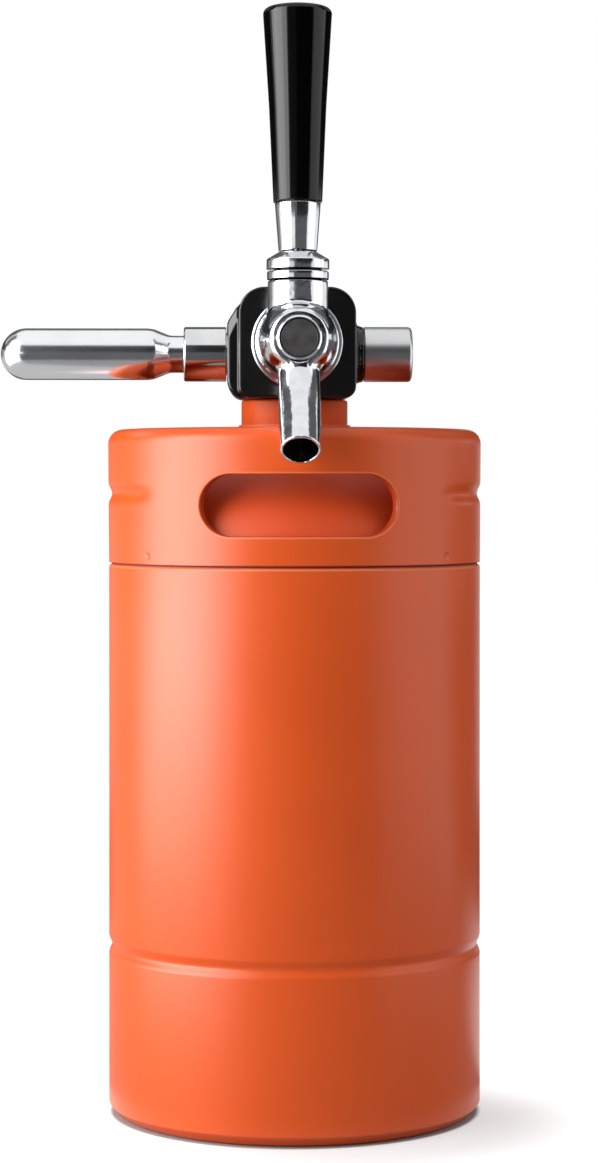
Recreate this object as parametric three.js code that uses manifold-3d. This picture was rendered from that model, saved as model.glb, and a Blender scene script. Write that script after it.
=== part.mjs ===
import * as THREE from 'three';
import { mergeVertices } from 'three/addons/utils/BufferGeometryUtils.js';
import Module from 'manifold-3d';

// Mini keg beer dispenser: a double-walled keg, a screw-in dispensing head with a
// gas cartridge on its left, a pressure regulator on its right and a tap in front.
// Millimetres, +Z up, the tap faces -Y, and the origin is the middle of the base.

const wasm = await Module();
wasm.setup();

// Fits shared by all pieces
const fitGap = 0.3;
const slideGap = 0.5;
const overrun = 2;
const turn = Math.PI * 2;
const degree = Math.PI / 180;

// Roundness of the revolved pieces
const kegFacets = 32;
const wideFacets = 20;
const mediumFacets = 16;
const smallFacets = 12;

// Keg shell
const kegRadius = 79;
const sheetWall = 0.8;
const baseEdgeRadius = 4.4;
const seamHeight = 232.5;
const seamEdgeRadius = 1.4;
const seamGap = 0.9;
const lapHeight = 5;
const lapEdgeHeight = 2;
const domeInset = 0.9;
const shellGrooveHeight = 69.7;
const shellGrooveWidth = 8;
const shellGrooveDepth = 1.3;
const domeRise = 60;
const domeDrop = 4.5;
const neckFilletRadius = 5;
const shellNeckLength = 2.8;

// Base cup
const baseRimHeight = 10;
const baseRimRadius = 1.6;
const baseRingRadius = 56;
const baseRingWidth = 8;
const baseRingRise = 1.2;

// Inner vessel
const vacuumGap = 5.6;
const vesselWall = 0.7;
const vesselFloor = 8;
const vesselFloorRadius = 14;
const vesselShoulderDrop = 7.5;
const vesselNeckLength = 5.6;

// Neck ring
const neckRadius = 22.65;
const neckSpigotRadius = 20.5;
const neckBoreRadius = 16.9;
const neckShoulderDrop = 7.9;
const neckSpigotHeight = 13.6;
const neckLength = 18.5;
const neckEdgeRadius = 0.9;
const gasketSeatRadius = 20;
const gasketThickness = 2.2;

// Top collar
const collarRise = 57;
const collarFlare = 0.4;
const collarCornerRadius = 6;
const collarLipRadius = 65.5;
const collarRollRadius = 2.5;
const collarLipDrop = 2.6;
const collarGrooveRise = 30;
const collarGrooveWidth = 9.4;
const collarGrooveDepth = 1.5;
const collarGrooveHalfAngle = 33 * degree;
const collarGrooveFade = 9 * degree;
const handleSlotWidth = 80;
const handleSlotHeight = 25.6;
const handleSlotRise = 25;
const handleLipWall = 1.2;
const handleLipDepth = 3.5;

// Dispensing head body
const headWidth = 50.4;
const headHeight = 46.6;
const headFront = 27;
const headBack = 24;
const headTopCorner = 11;
const headBottomCorner = 5;
const headEdgeRadius = 3;
const spigotLength = 14.4;
const cartridgeLugReach = 28.8;
const cartridgeLugTop = 13.4;
const cartridgeLugBottom = 15;
const cartridgeLugRadius = 13.5;
const regulatorLugReach = 26.3;
const regulatorLugTop = 12.5;
const regulatorLugBottom = 15;
const regulatorLugRadius = 15;
const lugFairing = 4;
const bossRadius = 11.95;
const bossLength = 1.5;
const bossStepRadius = 11.2;
const bossStepLength = 1.4;

// Heights of the two cross axes above the head's base face
const gasAxisRise = 19.4;
const tapAxisRise = 22.6;

// Dip tube and gas outlet
const dipTubeRadius = 4.75;
const dipTubeWall = 0.8;
const dipTubeForward = 9;
const dipTubeFootGap = 5.3;
const dipTubeGrip = 11;
const dipSealThickness = 2.4;
const dipSealWidth = 1.3;
const dipSealDepth = 3;
const liquidBoreRadius = 3;
const gasBoreRadius = 1.2;
const gasOutletRadius = 2;
const gasOutletInset = 1;
const gasOutletBack = 4;
const checkValveFlange = 3.5;
const checkValveLip = 2.2;
const checkValveStem = 5;

// Gas cartridge and its socket
const cartridgeRadius = 11;
const cartridgeLength = 89;
const cartridgeWall = 1.5;
const cartridgeEntry = 11.1;
const cartridgeShoulderLength = 8;
const cartridgeNeckRadius = 7.9;
const cartridgeNeckLength = 17;
const cartridgeMouthRadius = 1.6;
const socketRadius = 11.65;
const socketLength = 18.1;
const socketEdge = 0.7;
const socketSpigotRadius = 9;
const socketSpigotLength = 10.8;
const cartridgeSealThickness = 2;
const pierceFlangeThickness = 2;
const pierceNeedleRadius = 0.9;
const pierceNeedleLength = 5;
const pierceStemRadius = 2.4;
const pierceStemLength = 6;

// Pressure regulator
const pistonBoreRadius = 8.3;
const pistonBoreFloor = 11;
const regulatorSeatRadius = 4.3;
const regulatorSeatThickness = 2.4;
const pistonPlay = 2.4;
const pistonThickness = 4;
const pistonStemRadius = 1.1;
const pistonStemLength = 4.6;
const pistonRingWidth = 1.8;
const pistonRingDepth = 1.5;
const springWireRadius = 0.8;
const springCoilRadius = 5.1;
const springLength = 10;
const springTurns = 4;
const followerThickness = 3;
const followerRadius = 6.9;
const followerKeyReach = 8.6;
const followerKeyWidth = 3;
const bushingRadius = 9.3;
const bushingBoreRadius = 7.2;
const bushingInset = 2;
const bushingLength = 11.7;
const bushingShelf = 1.5;
const knobRadius = 11.75;
const knobLength = 20.5;
const knobEdgeRadius = 1.8;
const knobEndWall = 4;
const adjusterRadius = 3;
const adjusterHeadRadius = 5.2;
const adjusterHeadLength = 2.6;
const adjusterTipPlay = 2.2;

// Tap shank and coupling nut
const shankRadius = 8;
const shankBoreRadius = 4.6;
const shankGrip = 13;
const shankCollarRadius = 11;
const shankCollarLength = 14.4;
const shankChamberRadius = 7.9;
const couplingRadius = 18.9;
const couplingCupRadius = 18;
const couplingCupDepth = 2.5;
const couplingEdge = 1.2;

// Tap body
const tapFlangeRadius = 17.4;
const tapFlangeLength = 4;
const tapFlangeEdge = 0.9;
const tapDomeRadius = 16.6;
const tapNoseRadius = 9.75;
const tapLength = 40;
const tapNoseLength = 1.6;
const tapNoseEdge = 0.8;
const tapBoreRadius = 7.9;
const seatWall = 2.6;
const seatHoleRadius = 5.6;
const columnRadius = 12.3;
const columnGap = 0.5;
const columnLip = 5.1;
const leverArm = 19;
const fingerSlotWidth = 5.6;

// Spout
const spoutRadius = 8.6;
const spoutWall = 1.1;
const spoutFacets = 16;
const spoutSteps = 8;
const spoutLean = 41.3 * degree;
const spoutReach = 30.4;
const spoutStartInset = 11.5;
const spoutStartDrop = 8;
const spoutBendInset = 4.4;
const spoutBendDrop = 22.5;

// Front plug
const plugRadius = 7.5;
const plugSleeveRadius = 6.3;
const plugFaceLength = 5;
const plugLength = 19.4;
const plugRecess = 0.4;
const plugEdge = 0.6;

// Valve shaft
const shaftRadius = 4.5;
const shaftFrontPlay = 2.1;
const shaftShoulderGap = 1.2;
const shaftStemRadius = 2.4;
const shaftTail = 1.4;
const shaftSlotWidth = 5.2;
const valveSealRadius = 7;
const valveSealThickness = 2;
const sealNutRadius = 4.6;
const sealNutThickness = 2.2;

// Lever ball, its washer and its bonnet
const leverRestLean = 3 * degree;
const leverPull = 20 * degree;
const ballRadius = 7.4;
const washerRadius = 9.5;
const washerBottomDrop = 5.8;
const washerTopDrop = 3.7;
const bonnetSkirtRadius = 9.7;
const bonnetSkirtDrop = 3.2;
const bonnetRadius = 12.85;
const bonnetDomeRadius = 18.6;
const lockRingRadius = 12.65;
const lockRingHeight = 3.8;
const lockRingEdge = 0.5;
const leverRodRadius = 2.5;
const leverThreadRadius = 3.9;
const leverThreadClear = 1.7;
const leverThreadPlay = 2.6;
const fingerRadius = 1.8;
const fingerNeckRadius = 1;
const fingerNeckLength = 5.4;
const fingerTipRadius = 2.1;

// Handle
const ferruleBottomRadius = 7.9;
const ferruleTopRadius = 9.4;
const ferruleGap = 0.4;
const ferruleTopRise = 37;
const handleBottomRadius = 10;
const handleTopRadius = 14.3;
const handleLength = 80.8;
const handleEdgeRadius = 2.5;
const handleCrown = 0.6;
const insertRadius = 6;
const insertRise = 16;

// Sizes and places that follow from the ones above: the keg
const shellInnerRadius = kegRadius - sheetWall;
const lapRadius = shellInnerRadius - fitGap;
const domeRadius = lapRadius - domeInset;
const domeCentreHeight = seamHeight - domeDrop;
const shellNeckRadius = neckRadius + fitGap + sheetWall;
const shellNeckTop = domeHeight(shellNeckRadius + neckFilletRadius) + neckFilletRadius + shellNeckLength;
const baseCupRadius = kegRadius - baseEdgeRadius - fitGap;
const neckShoulderHeight = shellNeckTop - neckShoulderDrop;
const neckTopHeight = neckShoulderHeight + neckLength;
const vesselRadius = shellInnerRadius - vacuumGap;
const vesselNeckRadius = neckSpigotRadius + fitGap + vesselWall;
const vesselShoulderHeight = seamHeight - vesselShoulderDrop;
const vesselShoulderRise = neckShoulderHeight - vesselNeckLength - vesselShoulderHeight;
const collarBottomHeight = seamHeight + seamGap;
const collarTopHeight = seamHeight + collarRise;
const collarGrooveHeight = seamHeight + collarGrooveRise;
const handleSlotHeightCentre = seamHeight + handleSlotRise;

// The head and its gas axis
const spigotRadius = neckBoreRadius - fitGap;
const headBaseHeight = neckTopHeight + fitGap;
const spigotBottomHeight = headBaseHeight - spigotLength;
const gasAxisHeight = headBaseHeight + gasAxisRise;
const tapAxisHeight = headBaseHeight + tapAxisRise;
const socketReach = cartridgeLugReach + fitGap + socketLength;
const socketBoreRadius = cartridgeNeckRadius + fitGap;
const cartridgeMouth = socketReach - cartridgeEntry;
const cartridgeTip = cartridgeMouth + cartridgeLength;
const gasOutletSide = pistonBoreFloor + gasOutletInset;
const pistonStart = pistonBoreFloor + pistonPlay;
const springStart = pistonStart + pistonThickness + fitGap;
const followerStart = springStart + springLength + fitGap;
const bushingStart = regulatorLugReach - bushingInset;
const bushingEnd = bushingStart + bushingLength;
const knobStart = regulatorLugReach + bossLength + bossStepLength + fitGap;
const knobEnd = knobStart + knobLength;

// The tap, from the head forwards
const couplingBack = headFront + fitGap;
const shankFront = couplingBack + shankCollarLength;
const shankBack = headFront - shankGrip;
const shankSocketFloor = dipTubeForward - liquidBoreRadius - slideGap;
const couplingFront = shankFront + couplingCupDepth;
const tapFlangeStart = shankFront + fitGap;
const tapNoseFront = tapFlangeStart + tapLength;
const pivotForward = couplingFront + columnGap + columnRadius;
const pivotHeight = tapAxisHeight + leverArm;
const valveTravel = leverArm * leverPull;
const sealNutFront = shankFront - valveSealThickness - fitGap;
const sealNutBack = sealNutFront - sealNutThickness;
const shaftBack = sealNutBack - shaftTail;
const shankChamberFloor = sealNutBack - valveTravel - slideGap;
const shaftShoulder = tapFlangeStart + seatWall + shaftShoulderGap;
const plugFront = tapNoseFront - plugRecess;
const plugGuideFloor = plugFront - plugFaceLength / 2;
const shaftFront = plugGuideFloor - shaftFrontPlay;

// The lever, from its pivot up
const bonnetBottomRise = columnLip + lockRingHeight + 2 * fitGap;
const leverThreadStart = bonnetDomeRadius + leverThreadClear;
const handleBottomRise = ferruleTopRise + fitGap;
const handleTopRise = handleBottomRise + handleLength;
const leverThreadTop = handleBottomRise + insertRise - leverThreadPlay;

// Finishes
function finish(color, roughness, metalness) {
  return new THREE.MeshStandardMaterial({ color, roughness, metalness });
}

const powderCoat = finish(0xd9572a, 0.45, 0.1);
const bareSteel = finish(0xb9bbbd, 0.32, 1);
const brushedSteel = finish(0xc4c6c8, 0.28, 1);
const polishedSteel = finish(0xd5d7d9, 0.16, 1);
const chrome = finish(0xe2e4e6, 0.06, 1);
const brass = finish(0xb8964f, 0.3, 1);
const blackHead = finish(0x121110, 0.22, 0);
const blackHandle = finish(0x060606, 0.12, 0);
const plugPlastic = finish(0x4a4a4b, 0.4, 0);
const rubber = finish(0x1d1d1e, 0.75, 0);
const whitePlastic = finish(0xe6e4de, 0.5, 0);

// Closes a geometry: one vertex for each place, and no faces without area
function closed(geometry) {
  const bare = geometry.clone();
  bare.deleteAttribute('normal');
  bare.deleteAttribute('uv');
  const merged = mergeVertices(bare, 1e-4);
  const index = merged.getIndex().array;
  const kept = [];
  for (let i = 0; i < index.length; i += 3) {
    const [a, b, c] = [index[i], index[i + 1], index[i + 2]];
    if (a !== b && b !== c && c !== a) {
      kept.push(a, b, c);
    }
  }
  merged.setIndex(kept);
  return facingOut(merged);
}

// Turns the faces round where a profile was drawn the other way
function facingOut(geometry) {
  const place = geometry.getAttribute('position');
  const index = geometry.getIndex().array;
  const corner = [new THREE.Vector3(), new THREE.Vector3(), new THREE.Vector3()];
  let volume = 0;
  for (let i = 0; i < index.length; i += 3) {
    corner.forEach((point, k) => point.fromBufferAttribute(place, index[i + k]));
    volume += corner[0].dot(corner[1].clone().cross(corner[2]));
  }
  if (volume < 0) {
    const turned = Array.from(index);
    for (let i = 0; i < turned.length; i += 3) {
      [turned[i + 1], turned[i + 2]] = [turned[i + 2], turned[i + 1]];
    }
    geometry.setIndex(turned);
  }
  return geometry;
}

function solid(geometry) {
  const whole = closed(geometry);
  return new wasm.Manifold(new wasm.Mesh({
    numProp: 3,
    vertProperties: new Float32Array(whole.getAttribute('position').array),
    triVerts: new Uint32Array(whole.getIndex().array),
  }));
}

function geometryOf(manifold) {
  const mesh = manifold.getMesh();
  const geometry = new THREE.BufferGeometry();
  geometry.setAttribute('position', new THREE.BufferAttribute(mesh.vertProperties, 3));
  geometry.setIndex(new THREE.BufferAttribute(mesh.triVerts, 1));
  return geometry;
}

// Joins the first list of geometries and cuts the second list from the result
function shaped(joined, cuts = []) {
  let whole = solid(joined[0]);
  for (const piece of joined.slice(1)) {
    whole = whole.add(solid(piece));
  }
  for (const cut of cuts) {
    whole = whole.subtract(solid(cut));
  }
  return geometryOf(whole);
}

// Points of a round stretch of a profile, with angles in degrees from the radial axis
function arc(centreRadius, centreHeight, radius, from, to, steps) {
  return Array.from({ length: steps + 1 }, (_, i) => {
    const angle = (from + (to - from) * (i / steps)) * degree;
    return [centreRadius + radius * Math.cos(angle), centreHeight + radius * Math.sin(angle)];
  });
}

// Revolves a profile of [radius, height] points round the +Z axis
function revolve(points, facets) {
  const profile = points.map(([radius, height]) => new THREE.Vector2(radius, height));
  const onAxis = points[0][0] === 0 && points[points.length - 1][0] === 0;
  if (!onAxis) {
    profile.push(profile[0].clone());
  }
  return new THREE.LatheGeometry(profile, facets).rotateX(Math.PI / 2);
}

function ring(innerRadius, outerRadius, bottom, top, facets) {
  const points = [[innerRadius, bottom], [outerRadius, bottom], [outerRadius, top], [innerRadius, top]];
  return revolve(points, facets);
}

function rod(radius, bottom, top, facets) {
  return revolve([[0, bottom], [radius, bottom], [radius, top], [0, top]], facets);
}

function box(left, right, near, far, bottom, top) {
  const block = new THREE.BoxGeometry(right - left, far - near, top - bottom);
  return block.translate((left + right) / 2, (near + far) / 2, (bottom + top) / 2);
}

// Outline with straight sides and semicircular ends, lying along X
function stadium(width, height) {
  const radius = height / 2;
  const reach = width / 2 - radius;
  const outline = new THREE.Shape();
  outline.moveTo(-reach, -radius);
  outline.lineTo(reach, -radius);
  outline.absarc(reach, 0, radius, -Math.PI / 2, Math.PI / 2);
  outline.lineTo(-reach, radius);
  outline.absarc(-reach, 0, radius, Math.PI / 2, Math.PI * 1.5);
  return outline;
}

// Closed outline through corners that are given as [x, y, corner radius]
function roundedOutline(corners) {
  const outline = new THREE.Shape();
  corners.forEach(([x, y, radius], i) => {
    const corner = new THREE.Vector2(x, y);
    const [beforeX, beforeY] = corners.at(i - 1);
    const [afterX, afterY] = corners[(i + 1) % corners.length];
    const before = new THREE.Vector2(beforeX, beforeY).sub(corner).normalize();
    const after = new THREE.Vector2(afterX, afterY).sub(corner).normalize();
    const start = corner.clone().addScaledVector(before, radius);
    const end = corner.clone().addScaledVector(after, radius);
    if (i === 0) {
      outline.moveTo(start.x, start.y);
    } else {
      outline.lineTo(start.x, start.y);
    }
    outline.quadraticCurveTo(x, y, end.x, end.y);
  });
  outline.closePath();
  return outline;
}

// Height of the keg's dome over a radius
function domeHeight(radius, inset = 0) {
  const share = radius / (domeRadius - inset);
  return domeCentreHeight + (domeRise - inset) * Math.sqrt(1 - share * share);
}

function domeCurve(fromHeight, toRadius, inset, steps) {
  const rise = domeRise - inset;
  const width = domeRadius - inset;
  const from = Math.asin((fromHeight - domeCentreHeight) / rise);
  const to = Math.acos(toRadius / width);
  return Array.from({ length: steps + 1 }, (_, i) => {
    const angle = from + (to - from) * (i / steps);
    return [width * Math.cos(angle), domeCentreHeight + rise * Math.sin(angle)];
  });
}

// A shallow pressed groove in a wall, as profile points going up
function pressedGroove(radius, height, width, depth, steps) {
  return Array.from({ length: steps + 1 }, (_, i) => {
    const share = i / steps;
    const sunk = depth * (1 - Math.cos(share * turn)) / 2;
    return [radius - sunk, height + (share - 0.5) * width];
  });
}

// Round stretch between the dome and the upright neck of the shell
function neckFillet(innerRadius, filletRadius, inset, steps) {
  const startRadius = innerRadius + filletRadius;
  const startHeight = domeHeight(startRadius, inset);
  return arc(startRadius, startHeight + filletRadius, filletRadius, 260, 180, steps);
}

function outerShell() {
  const innerNeck = shellNeckRadius - sheetWall;
  const lapTop = seamHeight + lapHeight;
  const domeStart = lapTop + lapEdgeHeight;
  const baseCentre = kegRadius - baseEdgeRadius;
  const outside = [
    ...arc(baseCentre, baseEdgeRadius, baseEdgeRadius, -90, 0, 2),
    ...pressedGroove(kegRadius, shellGrooveHeight, shellGrooveWidth, shellGrooveDepth, 4),
    ...arc(kegRadius - seamEdgeRadius, seamHeight - seamEdgeRadius, seamEdgeRadius, 0, 90, 2),
    [lapRadius, seamHeight],
    [lapRadius, lapTop],
    ...domeCurve(domeStart, shellNeckRadius + neckFilletRadius, 0, 5).slice(0, -1),
    ...neckFillet(shellNeckRadius, neckFilletRadius, 0, 2),
    [shellNeckRadius, shellNeckTop],
  ];
  const inside = [
    [innerNeck, shellNeckTop],
    ...neckFillet(innerNeck, neckFilletRadius + sheetWall, sheetWall, 1).reverse(),
    ...domeCurve(domeStart, innerNeck + neckFilletRadius + sheetWall, sheetWall, 3).slice(0, -1).reverse(),
    [lapRadius - sheetWall, lapTop],
    [lapRadius - sheetWall, seamHeight - sheetWall],
    [shellInnerRadius, seamHeight - sheetWall - seamEdgeRadius],
    ...pressedGroove(shellInnerRadius, shellGrooveHeight, shellGrooveWidth, shellGrooveDepth, 2).reverse(),
    [shellInnerRadius, baseEdgeRadius],
    [baseCentre, sheetWall],
  ];
  return closed(revolve([...outside, ...inside], kegFacets));
}

function baseCup() {
  const ringInner = baseRingRadius - baseRingWidth / 2;
  const ringOuter = baseRingRadius + baseRingWidth / 2;
  return closed(revolve([
    [0, 0],
    [ringInner, 0],
    [ringInner + baseRingRise, baseRingRise],
    [ringOuter - baseRingRise, baseRingRise],
    [ringOuter, 0],
    [baseCupRadius - baseRimRadius, 0],
    [baseCupRadius, baseRimRadius],
    [baseCupRadius, baseRimHeight],
    [baseCupRadius - sheetWall, baseRimHeight],
    [baseCupRadius - sheetWall, baseRimRadius + sheetWall],
    [baseCupRadius - baseRimRadius - sheetWall, sheetWall],
    [ringOuter + sheetWall, sheetWall],
    [ringOuter - baseRingRise, baseRingRise + sheetWall],
    [ringInner + baseRingRise, baseRingRise + sheetWall],
    [ringInner - sheetWall, sheetWall],
    [0, sheetWall],
  ], kegFacets));
}

// One side of the vessel's wall, from the middle of its floor to the top of its neck
function vesselSide(inset) {
  const radius = vesselRadius - inset;
  const rise = vesselShoulderRise - inset;
  const neck = vesselNeckRadius - inset;
  const corner = vesselFloorRadius - inset;
  const reach = Math.acos(neck / radius) / degree;
  const shoulder = arc(0, 0, 1, 0, reach, 4);
  const neckTop = neckShoulderHeight - fitGap;
  return [
    [0, vesselFloor + inset],
    ...arc(radius - corner, vesselFloor + inset + corner, corner, -90, 0, 2),
    ...shoulder.map(([x, z]) => [x * radius, vesselShoulderHeight + z * rise]),
    [neck, neckTop],
  ];
}

function innerVessel() {
  return closed(revolve([...vesselSide(0), ...vesselSide(vesselWall).reverse()], wideFacets));
}

function neckRing() {
  const seatHeight = neckTopHeight - gasketThickness - fitGap;
  return closed(revolve([
    [neckBoreRadius, neckShoulderHeight - neckSpigotHeight],
    [neckSpigotRadius, neckShoulderHeight - neckSpigotHeight],
    [neckSpigotRadius, neckShoulderHeight],
    [neckRadius, neckShoulderHeight],
    ...arc(neckRadius - neckEdgeRadius, neckTopHeight - neckEdgeRadius, neckEdgeRadius, 0, 90, 1),
    [gasketSeatRadius, neckTopHeight],
    [gasketSeatRadius, seatHeight],
    [neckBoreRadius, seatHeight],
  ], wideFacets));
}

// Depth of the pressed grooves in the collar's two sides at an angle from the front
function collarGroove(angle, height) {
  const sideways = Math.abs(Math.abs(angle) - Math.PI / 2) - collarGrooveHalfAngle;
  const along = 1 - THREE.MathUtils.smoothstep(sideways, 0, collarGrooveFade);
  const across = (height - collarGrooveHeight) / collarGrooveWidth;
  const hollow = Math.abs(across) < 0.5 ? (1 + Math.cos(across * turn)) / 2 : 0;
  return collarGrooveDepth * along * hollow;
}

// A stadium-shaped bar that runs through the front and the back of the collar
function handleSlotBar(extra) {
  const length = 2 * (kegRadius + collarFlare + overrun);
  const outline = stadium(handleSlotWidth + 2 * extra, handleSlotHeight + 2 * extra);
  const bar = new THREE.ExtrudeGeometry(outline, { depth: length, bevelEnabled: false, curveSegments: 5 });
  return bar.rotateX(Math.PI / 2).translate(0, length / 2, handleSlotHeightCentre);
}

function topCollar() {
  const topRadius = kegRadius + collarFlare;
  const lipStart = collarLipRadius + collarRollRadius;
  const cornerHeight = collarTopHeight - collarCornerRadius;
  const rollHeight = collarTopHeight - collarRollRadius;
  const lipEnd = rollHeight - collarLipDrop;
  const innerBottom = kegRadius - sheetWall;
  const grooveRows = (shares) => shares.map((share) => collarGrooveHeight + share * collarGrooveWidth);
  const radiusAt = (height) => kegRadius
    + collarFlare * (height - collarBottomHeight) / (cornerHeight - collarBottomHeight);
  const sheet = revolve([
    [kegRadius, collarBottomHeight],
    ...grooveRows([-0.5, -0.25, 0, 0.25, 0.5]).map((height) => [radiusAt(height), height]),
    ...arc(topRadius - collarCornerRadius, cornerHeight, collarCornerRadius, 0, 90, 2),
    ...arc(lipStart, rollHeight, collarRollRadius, 90, 180, 1),
    [collarLipRadius, lipEnd],
    [collarLipRadius + sheetWall, lipEnd],
    [collarLipRadius + sheetWall, rollHeight],
    [lipStart, collarTopHeight - sheetWall],
    ...arc(topRadius - collarCornerRadius, cornerHeight, collarCornerRadius - sheetWall, 90, 0, 1),
    ...grooveRows([0.5, 0, -0.5]).map((height) => [radiusAt(height) - sheetWall, height]),
    [innerBottom, collarBottomHeight],
  ], kegFacets);
  const place = sheet.getAttribute('position');
  for (let i = 0; i < place.count; i += 1) {
    const [x, y, z] = [place.getX(i), place.getY(i), place.getZ(i)];
    const radius = Math.hypot(x, y);
    const pressed = (radius - collarGroove(Math.atan2(x, -y), z)) / radius;
    place.setXY(i, x * pressed, y * pressed);
  }
  const outerSkin = rod(kegRadius - sheetWall / 2, collarBottomHeight, cornerHeight, kegFacets);
  const innerSkin = rod(kegRadius - handleLipDepth, collarBottomHeight - overrun, cornerHeight + overrun, kegFacets);
  const lips = solid(outerSkin).subtract(solid(innerSkin)).intersect(solid(handleSlotBar(handleLipWall)));
  return geometryOf(solid(sheet).add(lips).subtract(solid(handleSlotBar(0))));
}

function neckGasket() {
  const bottom = neckTopHeight - gasketThickness;
  return closed(ring(neckBoreRadius + fitGap, gasketSeatRadius - fitGap, bottom, neckTopHeight, mediumFacets));
}

// Front outline of the head's block, from its base face up
function headBlock() {
  const half = headWidth / 2 - headEdgeRadius;
  const top = headHeight - headEdgeRadius;
  const lowCorner = headBottomCorner - headEdgeRadius / 2;
  const highCorner = headTopCorner - headEdgeRadius / 2;
  const outline = roundedOutline([
    [-half, headEdgeRadius, lowCorner],
    [half, headEdgeRadius, lowCorner],
    [half, top, highCorner],
    [-half, top, highCorner],
  ]);
  const block = new THREE.ExtrudeGeometry(outline, {
    depth: headFront + headBack - 2 * headEdgeRadius,
    bevelThickness: headEdgeRadius,
    bevelSize: headEdgeRadius,
    bevelSegments: 2,
    curveSegments: 3,
  });
  return block.rotateX(Math.PI / 2).translate(0, headBack - headEdgeRadius, 0);
}

// Moulded fairing that carries a side fitting, drawn along +X from the head's middle
function sideLug(reach, above, below, radius) {
  const edge = lugFairing / 2;
  const outline = roundedOutline([
    [0, edge, edge],
    [reach - edge - lugFairing, edge, edge],
    [reach - edge, gasAxisRise - below + edge, edge],
    [reach - edge, gasAxisRise + above - edge, edge],
    [reach - edge - lugFairing, headHeight - headTopCorner / 2, edge],
    [0, headHeight - headTopCorner / 2, edge],
  ]);
  const lug = new THREE.ExtrudeGeometry(outline, {
    depth: 2 * (radius - edge),
    bevelThickness: edge,
    bevelSize: edge,
    bevelSegments: 1,
    curveSegments: 1,
  });
  return lug.rotateX(Math.PI / 2).translate(0, radius - edge, 0);
}

// Turns a shape drawn along +Z to lie along +X or -X at the height of the gas axis
function alongGasAxis(geometry, side) {
  return geometry.rotateY(side * Math.PI / 2).translate(0, 0, gasAxisRise);
}

function alongTapAxis(geometry) {
  return geometry.rotateX(Math.PI / 2).translate(0, 0, tapAxisRise);
}

function headBody() {
  const spigotBottom = -spigotLength;
  const bossStart = regulatorLugReach;
  const bossEnd = bossStart + bossLength;
  const gripTop = spigotBottom + dipTubeGrip + fitGap;
  const sealBottom = spigotBottom + dipSealDepth;
  const sealTop = sealBottom + dipSealThickness + 2 * fitGap;
  const joined = [
    headBlock(),
    rod(spigotRadius, spigotBottom, headBottomCorner, wideFacets),
    sideLug(cartridgeLugReach, cartridgeLugTop, cartridgeLugBottom, cartridgeLugRadius).rotateZ(Math.PI),
    sideLug(regulatorLugReach, regulatorLugTop, regulatorLugBottom, regulatorLugRadius),
    alongGasAxis(rod(bossRadius, pistonBoreFloor, bossEnd, mediumFacets), 1),
    alongGasAxis(rod(bossStepRadius, pistonBoreFloor, bossEnd + bossStepLength, mediumFacets), 1),
  ];
  const socketFloor = cartridgeLugReach - socketSpigotLength - fitGap;
  const seatFloor = pistonBoreFloor - regulatorSeatThickness - 2 * fitGap;
  const dip = (geometry) => geometry.translate(0, -dipTubeForward, 0);
  const cuts = [
    dip(rod(dipTubeRadius + fitGap, spigotBottom - overrun, gripTop, smallFacets)),
    dip(rod(dipTubeRadius + dipSealWidth + 2 * fitGap, sealBottom, sealTop, smallFacets)),
    dip(rod(liquidBoreRadius, spigotBottom, tapAxisRise, smallFacets)),
    rod(gasOutletRadius, spigotBottom - overrun, gasAxisRise - pistonBoreRadius + overrun, smallFacets)
      .translate(gasOutletSide, gasOutletBack, 0),
    alongTapAxis(rod(shankRadius + fitGap, shankSocketFloor, headFront + overrun, mediumFacets)),
    alongGasAxis(rod(socketSpigotRadius + fitGap, socketFloor, cartridgeLugReach + overrun, mediumFacets), -1),
    alongGasAxis(rod(gasBoreRadius, -seatFloor - overrun, socketFloor + overrun, smallFacets), -1),
    alongGasAxis(rod(regulatorSeatRadius, seatFloor, pistonBoreFloor + overrun, smallFacets), 1),
    alongGasAxis(rod(pistonBoreRadius, pistonBoreFloor, bushingStart, mediumFacets), 1),
    alongGasAxis(rod(bushingRadius + fitGap, bushingStart - fitGap, knobEnd, mediumFacets), 1),
  ];
  return shaped(joined, cuts);
}

function dipTube() {
  const foot = vesselFloor + vesselWall + dipTubeFootGap;
  const top = spigotBottomHeight + dipTubeGrip;
  return closed(ring(dipTubeRadius - dipTubeWall, dipTubeRadius, foot, top, smallFacets));
}

function dipTubeSeal() {
  const bottom = spigotBottomHeight + dipSealDepth + fitGap;
  const inner = dipTubeRadius + fitGap;
  return closed(ring(inner, inner + dipSealWidth, bottom, bottom + dipSealThickness, smallFacets));
}

// Rubber one-way valve in the gas outlet, drawn from the underside of the spigot
function gasCheckValve() {
  const stem = gasOutletRadius - fitGap;
  const bore = stem / 2;
  return closed(revolve([
    [bore, checkValveStem],
    [bore, -checkValveLip],
    [checkValveFlange / 2, -fitGap - checkValveLip],
    [checkValveFlange, -fitGap - checkValveLip / 2],
    [checkValveFlange, -fitGap],
    [stem, -fitGap],
    [stem, checkValveStem],
  ], smallFacets));
}

// Threaded sleeve that the gas cartridge screws into, drawn outwards from the head's middle
function cartridgeSocket() {
  const spigotStart = cartridgeLugReach - socketSpigotLength;
  const faceStart = cartridgeLugReach + fitGap;
  const floor = cartridgeMouth - cartridgeSealThickness - pierceFlangeThickness - 3 * fitGap;
  return closed(revolve([
    [pierceStemRadius + fitGap, spigotStart],
    [socketSpigotRadius, spigotStart],
    [socketSpigotRadius, faceStart],
    [socketRadius, faceStart],
    [socketRadius, socketReach - socketEdge],
    [socketRadius - socketEdge, socketReach],
    [socketBoreRadius + socketEdge, socketReach],
    [socketBoreRadius, socketReach - socketEdge],
    [socketBoreRadius, floor],
    [pierceStemRadius + fitGap, floor],
  ], wideFacets));
}

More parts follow.
